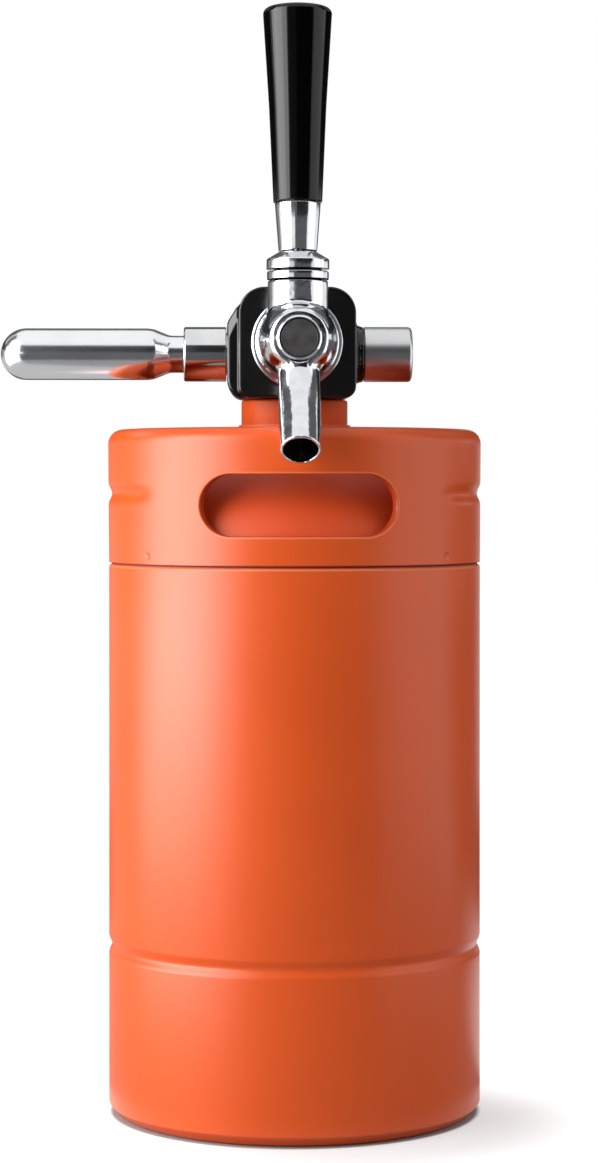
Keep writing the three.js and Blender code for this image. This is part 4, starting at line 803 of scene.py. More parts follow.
def collar_radius(height):
    """Radius of the wall, which flares a little towards its rim."""
    corner = collar_high.z - COLLAR_CORNER
    share = (height - collar_low.z) / (corner - collar_low.z)
    return collar_high.x - (collar_high.x - shell_high.x) * (1 - min(1, share))


def side_groove(angle, height):
    """How deep the pressed groove of the two sides is at an angle from the front."""
    off_side = math.acos(min(1, abs(math.sin(angle))))
    sideways = (off_side - SIDE_GROOVE_HALF_ANGLE) / SIDE_GROOVE_FADE
    sideways = min(1, max(0, sideways))
    along = 1 - sideways * sideways * (3 - 2 * sideways)
    across = (height - SIDE_GROOVE_HEIGHT) / SIDE_GROOVE_WIDTH
    return SIDE_GROOVE_DEPTH * along * (1 + math.cos(across * math.tau)) / 2 if abs(across) < 0.5 else 0


def slot_angle(x):
    return math.asin(max(-1, min(1, x / collar_radius(SLOT_LEVEL))))


class CollarSheet:
    """The collar's outer skin as shared points and faces."""

    def __init__(self):
        self.points, self.faces, self.known = [], [], {}

    def vertex(self, x, y, z):
        key = (round(x * 1e7), round(y * 1e7), round(z * 1e7))
        if key not in self.known:
            self.known[key] = len(self.points)
            self.points.append((x, y, z))
        return self.known[key]

    def on_wall(self, angle, height, sunk=0.0):
        radius = collar_radius(height) - side_groove(angle, height) - sunk
        return self.vertex(radius * math.sin(angle), -radius * math.cos(angle), height)

    def add_slot(self, half_turn, levels, columns):
        """Rings from the slot's inner lip over its rolled edge out to the border of its patch."""
        edge, bottom, corner = columns[-1], levels[0], levels[-1]
        border = [(x, corner) for x in columns[:-1]] + [(edge, z) for z in reversed(levels[1:])]
        border += [(x, bottom) for x in reversed(columns[1:])] + [(-edge, z) for z in levels[:-1]]
        shares = [0.25 * (quarter + k / steps) for quarter, steps in enumerate([TOP_STEPS, SIDE_STEPS] * 2)
                  for k in range(steps)]
        rolls = [(0, SLOT_LIP), (0, SLOT_LIP * 0.6)]
        rolls += [(SLOT_ROLL * (1 - math.cos(a)), SLOT_ROLL * (1 - math.sin(a)))
                  for a in np.radians(np.linspace(0, 90, 7))]
        rings = []
        for grow, sunk in rolls:
            spots = [stadium_point(share, grow) for share in shares]
            rings.append([self.on_wall(slot_angle(spot.x) + half_turn, SLOT_LEVEL + spot.y, sunk) for spot in spots])
        for spread in SLOT_SPREADS:
            spots = [(stadium_point(share, SLOT_ROLL) + Vector((0, SLOT_LEVEL))).lerp(Vector(end), spread)
                     for share, end in zip(shares, border)]
            rings.append([self.on_wall(slot_angle(spot.x) + half_turn, spot.y) for spot in spots])
        for inner, outer in zip(rings, rings[1:]):
            following = zip(inner, inner[1:] + inner[:1], outer[1:] + outer[:1], outer)
            self.faces += [tuple(corners) for corners in following]

    def add_flank(self, half_turn, levels, flank):
        for left, right in zip(flank, flank[1:]):
            for low, high in zip(levels, levels[1:]):
                corners = [(left, low), (right, low), (right, high), (left, high)]
                self.faces.append(tuple(self.on_wall(angle + half_turn, height) for angle, height in corners))

    def add_rim(self, around):
        """The rounded shoulder, the flat top and the lip that rolls in."""
        top_radius, top = collar_high.x, collar_high.z
        lip_start = COLLAR_LIP_RADIUS + COLLAR_ROLL
        rim = [
            *arc(top_radius - COLLAR_CORNER, top - COLLAR_CORNER, COLLAR_CORNER, 0, 90, 9),
            Vector(((top_radius - COLLAR_CORNER + lip_start) / 2, top)),
            *arc(lip_start, top - COLLAR_ROLL, COLLAR_ROLL, 90, 180, 6),
            Vector((COLLAR_LIP_RADIUS, top - COLLAR_ROLL - COLLAR_LIP_DROP)),
        ]
        for left, right in zip(around, around[1:] + around[:1]):
            for low, high in zip(rim, rim[1:]):
                corners = [(low, left), (low, right), (high, right), (high, left)]
                self.faces.append(tuple(self.vertex(p.x * math.sin(a), -p.x * math.cos(a), p.y) for p, a in corners))


def collar_mesh():
    """The collar's outer skin; its thickness is added afterwards."""
    bottom, corner = collar_low.z, collar_high.z - COLLAR_CORNER
    edge = math.sin(SLOT_PATCH_ANGLE) * collar_radius(SLOT_LEVEL)
    levels = [bottom + (corner - bottom) * k / SIDE_STEPS for k in range(SIDE_STEPS + 1)]
    columns = [edge * (2 * k / TOP_STEPS - 1) for k in range(TOP_STEPS + 1)]
    patch_angles = [slot_angle(x) for x in columns]
    flank_width = math.pi - 2 * SLOT_PATCH_ANGLE
    flank = [SLOT_PATCH_ANGLE + flank_width * k / FLANK_STEPS for k in range(FLANK_STEPS + 1)]
    flank[0], flank[-1] = patch_angles[-1], math.pi + patch_angles[0]
    sheet = CollarSheet()
    for half_turn in (0, math.pi):
        sheet.add_slot(half_turn, levels, columns)
    for half_turn in (0, math.pi):
        sheet.add_flank(half_turn, levels, flank)
    half = patch_angles[:-1] + flank[:-1]
    sheet.add_rim(half + [angle + math.pi for angle in half])
    return drawn("collar", sheet.points, sheet.faces)


def thicken(holder):
    wall = holder.modifiers.new("Wall", "SOLIDIFY")
    wall.thickness = SHEET_WALL
    wall.offset = -1


def collar():
    """The rolled collar with its two handle slots and the grooves of its sides."""
    mesh = collar_mesh()
    facing_out(mesh)
    outward = sum(p.normal.dot(Vector((p.center.x, p.center.y, 0))) for p in mesh.polygons)
    if outward < 0:
        mesh.flip_normals()
    thick = worked(mesh, thicken)
    thick.set_sharp_from_angle(angle=math.radians(50))
    shown(thick, "top_collar", orange_collar, body="keg")


# Blended castings: a field of distances, whose zero surface becomes the mesh

def length(*parts):
    return np.sqrt(sum(part * part for part in parts))


def smooth_min(first, second, width):
    blend = np.clip(0.5 + 0.5 * (second - first) / width, 0, 1)
    return second + (first - second) * blend - width * blend * (1 - blend)


def smooth_max(first, second, width):
    return -smooth_min(-first, -second, width)


def rounded_cut(across, along, edge):
    """Distance to where two distances are both below zero, with a rounded edge."""
    across, along = across + edge, along + edge
    inside = np.minimum(np.maximum(across, along), 0)
    return inside + length(np.maximum(across, 0), np.maximum(along, 0)) - edge


def bar(x, y, z, start, end, radius):
    """Distance to a capsule between two points."""
    start, end = np.array(start), np.array(end)
    along = end - start
    offset = [x - start[0], y - start[1], z - start[2]]
    share = sum(o * a for o, a in zip(offset, along)) / float(along @ along)
    share = np.clip(share, 0, 1)
    return length(*[o - share * a for o, a in zip(offset, along)]) - radius


def surface_mesh(name, field, node, cell):
    """Mesh of a field's zero surface: one vertex for each crossed cell, moved on to the surface.

    The cells fill the box of a CAD node and a margin round it.
    """
    margin = Vector([FIELD_MARGIN] * 3)
    low, high = box(node)
    low, high = low - margin, high + margin
    counts = [int(math.ceil((b - a) / cell)) + 1 for a, b in zip(low, high)]
    axes = [a + cell * np.arange(n) for a, n in zip(low, counts)]
    x, y, z = np.meshgrid(*axes, indexing="ij")
    values = field(x, y, z)
    inside = values < 0
    total = np.zeros([n - 1 for n in counts])
    places = np.zeros([3, *total.shape])

    def part(array, shift):
        return array[tuple(slice(s, s + n - 1) for s, n in zip(shift, counts))]

    corners = [(i, j, k) for i in (0, 1) for j in (0, 1) for k in (0, 1)]
    for first in corners:
        for axis in range(3):
            if first[axis]:
                continue
            second = tuple(c + (1 if a == axis else 0) for a, c in enumerate(first))
            va, vb = part(values, first), part(values, second)
            crossed = (va < 0) != (vb < 0)
            share = np.where(crossed, va / np.where(crossed, va - vb, 1), 0)
            total += crossed
            for a in range(3):
                places[a] += crossed * (first[a] + (share if a == axis else 0))
    used = total > 0
    numbers = -np.ones(total.shape, dtype=np.int64)
    numbers[used] = np.arange(used.sum())
    cells = np.argwhere(used)
    vertices = (cells + (places[:, used] / total[used]).T) * cell + np.array(low)
    for _ in range(6):
        here = field(*vertices.T)
        step = cell * 0.02
        slope = np.array([
            (field(*(vertices + step * unit).T) - field(*(vertices - step * unit).T)) / (2 * step)
            for unit in np.eye(3)
        ]).T
        size = np.maximum((slope * slope).sum(axis=1), 0.2)
        vertices -= np.clip(here / size, -cell / 2, cell / 2)[:, None] * slope
    quads = []
    for axis in range(3):
        ahead = np.moveaxis(inside, axis, 0)
        change = ahead[:-1] != ahead[1:]
        change = np.moveaxis(change, 0, axis)
        index = np.argwhere(change)
        u, v = [a for a in range(3) if a != axis]
        keep = (index[:, u] > 0) & (index[:, v] > 0)
        keep &= (index[:, u] < counts[u] - 1) & (index[:, v] < counts[v] - 1)
        index = index[keep]
        loops = []
        for du, dv in ((-1, -1), (0, -1), (0, 0), (-1, 0)):
            near = index.copy()
            near[:, u] += du
            near[:, v] += dv
            loops.append(numbers[tuple(near.T)])
        quad = np.stack(loops, axis=1)
        starts_inside = inside[tuple(index.T)]
        flip = starts_inside if axis != 1 else ~starts_inside
        quad[~flip] = quad[~flip][:, ::-1]
        quads.append(quad)
    mesh = drawn(name, vertices.tolist(), np.concatenate(quads).tolist())
    mesh.validate()
    mesh.shade_smooth()
    return mesh


def rounded_rectangle(x, z, half_width, low, high, low_corner, high_corner):
    """Distance in the XZ plane to a rectangle with different corners below and above."""
    middle = (low + high) / 2
    radius = np.where(z > middle, high_corner, low_corner)
    dx = np.abs(x) - half_width + radius
    dz = np.abs(z - middle) - (high - low) / 2 + radius
    outside = length(np.maximum(dx, 0), np.maximum(dz, 0))
    return np.minimum(np.maximum(dx, dz), 0) + outside - radius


def lug_field(x, y, z, lug):
    """Fairing on one side, drawn along +X: its top slants down to the face that carries the fitting."""
    reach, above, below, half_depth, bevel = lug
    face = x - reach
    over, under = z - GAS_RISE - above, GAS_RISE - below - z
    ceiling = z - HEAD_HEIGHT + HEAD_TOP_CORNER / 2
    lean = math.atan2(HEAD_HEIGHT - HEAD_TOP_CORNER / 2 - GAS_RISE - above, LUG_TOP_RUN)
    low_lean = math.atan2(GAS_RISE - below, LUG_FOOT_RUN)
    top = (face + LUG_TOP_INSET) * math.sin(lean) + over * math.cos(lean)
    foot = (face + LUG_FOOT_INSET) * math.sin(low_lean) + under * math.cos(low_lean)
    shape = smooth_max(smooth_max(face, top, FULL), foot, LUG_BLEND)
    shape = smooth_max(smooth_max(shape, -z, LUG_BASE_BLEND), ceiling, LUG_BLEND)
    shape = smooth_max(shape, np.abs(y) - half_depth, LUG_SIDE_BLEND)
    sideways, forward, upward = LUG_BEVEL_LEAN
    corner = sideways * face - forward * (y + half_depth) + upward * over + bevel
    return np.maximum(smooth_max(shape, corner, FINE), -x)


def head_cuts(x, y, z):
    """Distances to the bores and hollows of the head, from its base."""
    dip, gas = length(x, y + DIP_FORWARD), length(y, z - GAS_RISE)
    rise = z + SPIGOT_LENGTH
    return [
        np.maximum(dip - DIP_RADIUS - FIT, rise - DIP_STOP),
        np.maximum(dip - DIP_SEAL_RADIUS, np.abs(rise - DIP_SEAL_LEVEL) - DIP_SEAL_HALF),
        np.maximum(dip - LIQUID_BORE, z - TAP_RISE),
        np.maximum(length(x - GAS_HOLE_SIDE, y - GAS_HOLE_BACK) - GAS_HOLE_RADIUS, z - GAS_RISE + GAS_HOLE_DROP),
        np.maximum(length(x, z - TAP_RISE) - SHANK_BORE, y + SHANK_FLOOR),
        np.maximum(gas - SOCKET_BORE, x + SOCKET_FLOOR),
        np.maximum(gas - CHANNEL_RADIUS, np.abs(x + CHANNEL_MIDDLE) - CHANNEL_HALF),
        np.maximum(gas - SEAT_POCKET, np.abs(x - SEAT_MIDDLE) - SEAT_HALF),
        np.maximum(gas - PISTON_BORE, PISTON_FLOOR - x),
        np.maximum(gas - BUSHING_BORE, BUSHING_FLOOR - x),
    ]


def head_field(x, y, z):
    """The moulded head: a rounded block, a fairing on each side, the boss steps and the spigot."""
    z = z - head_base
    middle, half_width = (HEAD_RIGHT - HEAD_LEFT) / 2, (HEAD_RIGHT + HEAD_LEFT) / 2
    plane = rounded_rectangle(x - middle, z, half_width, 0, HEAD_HEIGHT, HEAD_LOW_CORNER, HEAD_TOP_CORNER)
    depth = np.abs(y - (HEAD_BACK - HEAD_FRONT) / 2) - (HEAD_BACK + HEAD_FRONT) / 2
    whole = rounded_cut(plane, depth, HEAD_EDGE)
    whole = smooth_min(whole, lug_field(-x, y, z, LEFT_LUG), FULL)
    whole = smooth_min(whole, lug_field(x, y, z, RIGHT_LUG), FULL)
    for radius, half in BOSS_STEPS:
        step = rounded_cut(length(y, z - GAS_RISE) - radius, np.abs(x - BOSS_MIDDLE) - half, SOFT)
        whole = np.minimum(whole, step)
    spigot = rounded_cut(length(x, y) - SPIGOT_RADIUS, np.abs(z) - SPIGOT_LENGTH, EASED)
    whole = np.minimum(whole, np.maximum(spigot, z - HEAD_LOW_CORNER))
    for cut in head_cuts(x, y, z):
        whole = np.maximum(whole, -cut)
    return whole


def moulded_head():
    mesh = surface_mesh("moulded_head", head_field, "head_body", HEAD_CELL)
    shown(mesh, "head_body", head_black)


def spout_fields(x, y, z):
    """Distance to the spout's middle line, grown by its tapering radius, and to the plane of its mouth."""
    start = np.array([0, -(nose_front - SPOUT_START_INSET), tap_level - SPOUT_START_DROP])
    bend = np.array([0, -(nose_front - SPOUT_BEND_INSET), tap_level - SPOUT_BEND_DROP])
    down = (bend - start) / np.linalg.norm(bend - start)
    out = np.array([0, -math.sin(SPOUT_LEAN), -math.cos(SPOUT_LEAN)])
    mouth = bend + out * SPOUT_REACH
    end = mouth + out * SPOUT_OVERRUN
    route = bend_route(start, bend - down * SPOUT_RADIUS, bend, bend + out * SPOUT_RADIUS, end)
    pipe = np.min([bar(x, y, z, a, b, 0) for a, b in zip(route, route[1:])], axis=0)
    mouth_plane = (x - mouth[0]) * out[0] + (y - mouth[1]) * out[1] + (z - mouth[2]) * out[2]
    taper = np.clip(-mouth_plane / SPOUT_REACH, 0, 1)
    return pipe - SPOUT_MOUTH_RADIUS - (SPOUT_RADIUS - SPOUT_MOUTH_RADIUS) * taper, mouth_plane


def tap_field(x, y, z):
    """The cast tap: flange and dome round the tap axis, column, and the spout with its bend."""
    forward, up = -y, z - tap_level
    ring, post = length(x, up), length(x, forward + pivot.y)
    flange_end = TAP_START + FLANGE_LENGTH
    across = np.abs(forward - (TAP_START + flange_end) / 2) - FLANGE_LENGTH / 2
    flange = rounded_cut(ring - FLANGE_RADIUS, across, FLANGE_EDGE)
    dome_end = nose_front - NOSE_LENGTH
    share = np.clip((forward - flange_end) / (dome_end - flange_end), 0, 1)
    bulge = np.sqrt(np.maximum(1 - share * share, 0))
    dome_radius = NOSE_RADIUS + (TAP_DOME_RADIUS - NOSE_RADIUS) * bulge
    dome = smooth_max(ring - dome_radius, forward - dome_end, FULL) * TAP_DOME_EASE
    dome = np.maximum(dome, flange_end - TAP_DOME_OVERLAP - forward)
    column = rounded_cut(post - COLUMN_RADIUS, np.abs(up - COLUMN_RISE / 2) - COLUMN_RISE / 2, LIGHT)
    pipe, mouth_plane = spout_fields(x, y, z)
    body = smooth_min(np.minimum(flange, dome), np.maximum(column, -up), COLUMN_BLEND)
    body = smooth_min(body, rounded_cut(pipe, mouth_plane, SPOUT_EDGE), SPOUT_BLEND)
    over_ball = up - PIVOT_RISE
    finger_slot = np.maximum(np.abs(x) - FINGER_SLOT_HALF,
                             np.abs(forward + pivot.y + FINGER_SLOT_MIDDLE) - FINGER_SLOT_REACH)
    cuts = [
        pipe + SPOUT_WALL,
        np.maximum(ring - TAP_BORE_RADIUS, TAP_START + TAP_BORE_START - forward),
        ring - TAP_PASSAGE,
        np.maximum(ring - NOSE_GROOVE_RADIUS, nose_front - NOSE_GROOVE_DEPTH - forward),
        np.maximum(length(x, forward + pivot.y, over_ball) - BALL_RADIUS - FIT, -over_ball - BALL_RADIUS),
        np.maximum(post - WASHER_RADIUS, -over_ball - WASHER_DROP),
        np.maximum(post - WELL_RADIUS, -over_ball - WELL_DROP),
        np.maximum(finger_slot, np.maximum(-up, over_ball + FINGER_SLOT_DROP)),
    ]
    for cut in cuts:
        body = np.maximum(body, -cut)
    return body


def bend_route(start, bend_start, bend, bend_end, end):
    """Points of two straight runs and the quadratic bend between them."""
    shares = np.linspace(0, 1, 9)
    curve = [(1 - s) ** 2 * bend_start + 2 * s * (1 - s) * bend + s * s * bend_end for s in shares]
    return [start, *curve, end]


def cast_tap():
    """The tap's casting, with the turned lip of its nose joined to it."""
    mesh = surface_mesh("cast_tap", tap_field, "tap_body", TAP_CELL)
    foot = nose_front - NOSE_GROOVE_DEPTH - LIGHT
    corners = [
        (TAP_BORE_RADIUS, foot), (NOSE_LIP_RADIUS, foot), (NOSE_LIP_RADIUS, nose_front - NOSE_LIP_BEVEL, FINE),
        (NOSE_LIP_RADIUS - NOSE_LIP_BEVEL, nose_front, FINE), (TAP_BORE_RADIUS, nose_front, CRISP / 2),
    ]
    lip = turned_mesh("nose_lip", rounded(corners), tap_chrome, 128)
    lip.transform(lying("front", tap_level))
    facing_out(lip)
    work = bmesh.new()
    work.from_mesh(mesh)
    work.from_mesh(lip)
    work.to_mesh(mesh)
    work.free()
    bpy.data.meshes.remove(lip)
    mesh.shade_smooth()
    mesh.set_sharp_from_angle(angle=math.radians(50))
    shown(mesh, "tap_body", tap_chrome)


# Fittings on the gas axis

def socket(place):
    face, end = LEFT_LUG[0] + FIT, -box("cartridge_socket")[0].x
    corners = [
        (SOCKET_PIN_BORE, SOCKET_START), (SOCKET_STEM, SOCKET_START, FINE), (SOCKET_STEM, face),
        (SOCKET_RADIUS, face, LIGHT), (SOCKET_RADIUS, end, SOCKET_RIM), (SOCKET_THREAD, end, EASED),
        (SOCKET_THREAD, SOCKET_STOP), (SOCKET_PIN_BORE, SOCKET_STOP),
    ]
    turned_piece("socket", rounded(corners), "cartridge_socket", socket_steel, place, 128)


def cartridge(place):
    """Threaded neck, sloping shoulder, straight body and round end, with its hollow."""
    neck_end = CARTRIDGE_MOUTH + CARTRIDGE_NECK
    body_start = neck_end + CARTRIDGE_SHOULDER
    tip = -box("gas_cartridge")[0].x
    radius, inner = CARTRIDGE_RADIUS, CARTRIDGE_RADIUS - CARTRIDGE_WALL
    neck_bend, knee_bend, body_bend = CARTRIDGE_BENDS
    outside = rounded([
        (CARTRIDGE_MOUTH_RADIUS, CARTRIDGE_MOUTH), (CARTRIDGE_NECK_RADIUS, CARTRIDGE_MOUTH, SOFT),
        (CARTRIDGE_NECK_RADIUS, neck_end, neck_bend),
        (radius - CARTRIDGE_KNEE_INSET, body_start - CARTRIDGE_KNEE, knee_bend),
        (radius, body_start + CARTRIDGE_KNEE, body_bend), (radius, tip - CARTRIDGE_END_RUN),
    ], math.radians(4))
    hollow = [
        Vector((0, tip - CARTRIDGE_WALL)), *arc(0, tip - radius, inner, 90, 0, 10)[1:],
        Vector((inner, body_start + CARTRIDGE_WALL)), Vector((CARTRIDGE_MOUTH_RADIUS, neck_end + CARTRIDGE_WALL)),
    ]
    points = [*outside, *arc(0, tip - radius, radius, 0, 90, 24), *hollow]
    turned_piece("cartridge", points, "gas_cartridge", cartridge_steel, place, 128, "cartridge")


def cartridge_face_seal(place):
    low, high = box("cartridge_seal")
    near, far = -high.x, -low.x
    corners = [
        (SEAL_BORE, near), (CARTRIDGE_NECK_RADIUS, near, LIGHT), (CARTRIDGE_NECK_RADIUS, far, LIGHT),
        (SEAL_BORE, far, FINE),
    ]
    turned_piece("cartridge_face_seal", rounded(corners), "cartridge_seal", seal_rubber, place, 64)


def pierce_needle(place):
    low, high = box("pierce_pin")
    start, end = -high.x, -low.x
    flange_start, flange_end = start + PIN_FLANGE_START, start + PIN_FLANGE_END
    corners = [
        (PIN_BORE, start), (PIN_RADIUS, start, CRISP), (PIN_RADIUS, flange_start),
        (PIN_FLANGE_RADIUS, flange_start, FINE), (PIN_FLANGE_RADIUS, flange_end, FINE),
        (PIN_TIP_RADIUS, flange_end, CRISP / 2), (PIN_TIP_RADIUS, end - PIN_TIP_RADIUS, CRISP), (PIN_BORE, end),
    ]
    turned_piece("pierce_needle", rounded(corners), "pierce_pin", bare_steel, place, 48)


def knob(place):
    low, high = box("regulator_knob")
    radius, floor = (high.z - low.z) / 2, high.x - KNOB_WALL
    corners = [
        (KNOB_HUB, low.x, LIGHT), (radius, low.x, SOFT), (radius, high.x, KNOB_ROUND), (0, high.x),
        (0, floor), (KNOB_HUB, floor, EASED),
    ]
    turned_piece("knob", rounded(corners), "regulator_knob", knob_steel, place, 128, "knob")


# The tap's own turned pieces

def clamp_nut(place):
    low, high = box("coupling_nut")
    back, face, radius = -high.y, -low.y, high.x
    cup_floor = face - NUT_CUP_DEPTH
    corners = [
        (NUT_BORE, back), (radius, back, NUT_BACK_EDGE), (radius, face, NUT_FACE_EDGE), (NUT_CUP, face, FINE),
        (NUT_CUP, cup_floor), (NUT_BORE, cup_floor),
    ]
    turned_piece("clamp_nut", rounded(corners), "coupling_nut", bright_chrome, place, 160)


def nose_plug(place):
    low, high = box("front_plug")
    face, back = -low.y - PLUG_INSET, -high.y
    step, floor = face - PLUG_HEAD, face - PLUG_FLOOR
    corners = [
        (PLUG_SLEEVE, back), (PLUG_STEM, back, FINE), (PLUG_STEM, step), (PLUG_RADIUS, step),
        (PLUG_RADIUS, face, EASED), (0, face), (0, floor), (PLUG_SLEEVE, floor),
    ]
    turned_piece("nose_plug", rounded(corners), "front_plug", plug_grey, place)


def lock_ring():
    low, high, radius = lock_low.z - pivot.z, lock_high.z - pivot.z, lock_high.x
    corners = [
        (RING_BORE, low), (RING_BEVEL_RADIUS, low + CRISP), (radius, low + CRISP, SOFT),
        (radius, high - CRISP, SOFT), (RING_BEVEL_RADIUS, high - CRISP), (RING_BORE, high),
    ]
    turned_piece("lock_ring", rounded(corners), "bonnet_lock_ring", bright_chrome, upright_at_pivot, 128)


def lever_bonnet():
    """The domed nut, slotted fore and aft for the lever."""
    low, high = box("lever_bonnet")
    bottom, rim = low.z - pivot.z, lock_high.z - pivot.z + 2 * FIT
    radius = high.x
    hollow, dome, shoulder = BALL_RADIUS + FIT, BONNET_DOME, BONNET_SHOULDER
    flat = math.acos(shoulder / dome)
    corner_height = math.sqrt(dome * dome - radius * radius) + SOFT
    points = [
        *rounded([(hollow, bottom), (BONNET_BORE, bottom, CRISP), (BONNET_BORE, rim), (radius, rim, FINE),
                  (radius, corner_height, BONNET_CORNER), (shoulder, dome * math.sin(flat) - CRISP / 4)]),
        *arc(0, 0, dome, math.degrees(flat) + 1, 90, 20),
        *arc(0, 0, hollow, 90, 0, 14),
    ]
    mesh = turned_mesh("bonnet", points, tap_chrome, 128)
    mesh.transform(upright_at_pivot)
    facing_out(mesh)
    cutter = slot_cutter()

    def cut_slot(holder):
        cut = holder.modifiers.new("Slot", "BOOLEAN")
        cut.operation = "DIFFERENCE"
        cut.solver = "EXACT"
        cut.object = cutter
    slotted = worked(mesh, cut_slot)
    bpy.data.objects.remove(cutter)
    slotted.set_sharp_from_angle(angle=math.radians(38))
    shown(slotted, "lever_bonnet", tap_chrome)


def slot_cutter():
    """An upright bar with round ends that clears the lever's rod over its whole swing."""
    half = LEVER_SLOT_HALF
    forward = BONNET_DOME * math.sin(LEVER_SWING - LEVER_LEAN)
    backward = BONNET_DOME * math.sin(LEVER_LEAN)
    outline = [(half * math.cos(a), backward + half * math.sin(a)) for a in np.linspace(0, math.pi, 17)]
    outline += [(half * math.cos(a), -forward + half * math.sin(a)) for a in np.linspace(math.pi, math.tau, 17)]
    count = len(outline)
    points = [(x, pivot.y + y, pivot.z + level) for level in (0, LEVER_SLOT_TOP) for x, y in outline]
    faces = [tuple(range(count))[::-1], tuple(range(count, 2 * count))]
    faces += [(k, (k + 1) % count, (k + 1) % count + count, k + count) for k in range(count)]
    return linked("slot_cutter", drawn("slot_cutter", points, faces))


# Lever and handle, drawn round the pivot and leaned back together

def lever_rod():
    """Finger, ball, rod and threaded end."""
    tip = PIVOT_RISE / math.cos(LEVER_LEAN)
    low = -math.degrees(math.acos(FINGER_RADIUS / BALL_RADIUS))
    high = math.degrees(math.acos(ROD_RADIUS / BALL_RADIUS))
    outline = [
        (FINGER_WAIST, FINGER_WAIST_RISE - tip), (FINGER_RADIUS, FINGER_RISE - tip),
        *arc(0, 0, BALL_RADIUS, low, high, 28),
        (ROD_RADIUS, ROD_TOP), (ROD_THREAD_RADIUS, ROD_TOP), (ROD_THREAD_RADIUS, ROD_THREAD_TOP), (0, ROD_THREAD_TOP),
    ]
    points = [Vector((0, -tip - FINGER_TIP)), *arc(0, -tip, FINGER_TIP, -90, 61, 10)[1:], *map(Vector, outline)]
    turned_piece("lever_rod", points, "lever_stem", bare_steel, lever_place, 64, "lever")


def ferrule():
    """Cone whose hollow is a part of a sphere round the pivot."""
    edge = math.degrees(math.acos(FERRULE_FOOT_RADIUS / FERRULE_HOLLOW))
    rim = math.degrees(math.acos(FERRULE_BORE / FERRULE_HOLLOW))
    foot = FERRULE_HOLLOW * math.sin(math.radians(edge))
    cup = arc(0, 0, FERRULE_HOLLOW, rim, edge, 8)[:-1]
    cone = rounded([cup[-1], (FERRULE_FOOT_RADIUS, foot, CRISP), (FERRULE_TOP_RADIUS, FERRULE_TOP, SOFT),
                    (FERRULE_BORE, FERRULE_TOP)])
    turned_piece("ferrule", [*cup, *cone[1:]], "handle_ferrule", bright_chrome, lever_place, 128, "lever")


def handle():
    foot = FERRULE_TOP + FIT
    top, bore_end = foot + HANDLE_LENGTH, foot + HANDLE_BORE_DEPTH
    corners = [
        (HANDLE_BORE, foot), (HANDLE_FOOT, foot, EASED), (HANDLE_WAIST, foot + HANDLE_WAIST_RISE, HANDLE_BEND),
        (HANDLE_CROWN, top - HANDLE_CROWN_DROP, HANDLE_CROWN_CORNER), (0, top),
    ]
    points = [*rounded(corners, math.radians(2)), Vector((0, bore_end)), Vector((HANDLE_BORE, bore_end))]
    turned_piece("handle", points, "tap_handle", handle_black, lever_place, 160, "lever")


# Pieces under the head that show when it is lifted out

def dip_pipe():
    low, high = box("dip_tube")
    outer, inner = DIP_RADIUS, DIP_RADIUS - SHEET_WALL
    corners = [(inner, low.z, CRISP), (outer, low.z, FINE), (outer, high.z, CRISP), (inner, high.z, CRISP)]
    place = Matrix.Translation((0, -DIP_FORWARD, 0))
    turned_piece("dip_pipe", rounded(corners), "dip_tube", bare_steel, place, 64)


def check_valve():
    low, high = box("gas_check_valve")
    foot, lip = low.z, low.z + VALVE_LIP_HIGH
    corners = [
        (VALVE_BORE, high.z), (VALVE_BORE, foot), (VALVE_FOOT, foot, FINE), (VALVE_LIP, foot + VALVE_LIP_LOW, SOFT),
        (VALVE_LIP, lip, FINE), (VALVE_STEM, lip), (VALVE_STEM, high.z),
    ]
    place = Matrix.Translation((GAS_HOLE_SIDE, GAS_HOLE_BACK, 0))
    turned_piece("check_valve", rounded(corners), "gas_check_valve", seal_rubber, place, 48)


def gasket():
    low, high = box("neck_gasket")
    inner, outer = NECK_BORE_RADIUS + FIT, high.x
    corners = [(inner, low.z, SOFT), (outer, low.z, EASED), (outer, high.z, EASED), (inner, high.z, SOFT)]
    turned_piece("gasket", rounded(corners), "neck_gasket", seal_rubber)


def dress_cad_nodes():
    """Procedural finishes for the inner CAD nodes that are shown as they are."""
    finishes = {
        seal_rubber: ("dip_tube_seal", "piston_ring", "valve_seal"),
        white_plastic: ("regulator_seat", "ball_washer"),
        inner_brass: ("regulator_piston", "spring_follower", "handle_insert"),
        bare_steel: ("knob_bushing", "regulator_spring", "adjusting_screw", "tap_shank", "valve_shaft", "seal_nut"),
    }
    for material, names in finishes.items():
        for slot in [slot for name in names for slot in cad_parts[name].material_slots]:
            slot.material = material


# Studio: camera, softboxes, floor and the dark cards that polished metal reflects

def set_camera():
    focal = PIXELS_PER_METRE * EYE_DISTANCE
    data = bpy.data.cameras.new("camera")
    data.sensor_fit = "VERTICAL"
    data.sensor_height = 24
    data.lens = focal * data.sensor_height / PHOTO_HEIGHT
    data.clip_end = 50
    camera = linked("camera", data)
    camera.location = (EYE_SIDE, -EYE_DISTANCE, EYE_HEIGHT)
    to_axis = math.atan2(-EYE_SIDE, EYE_DISTANCE)
    heading = to_axis - math.atan2(AXIS_COLUMN - PHOTO_WIDTH / 2, focal)
    data.shift_y = (EYE_ROW - PHOTO_HEIGHT / 2) / PHOTO_HEIGHT
    camera.rotation_euler = (math.pi / 2, 0, -heading)
    bpy.context.scene.camera = camera


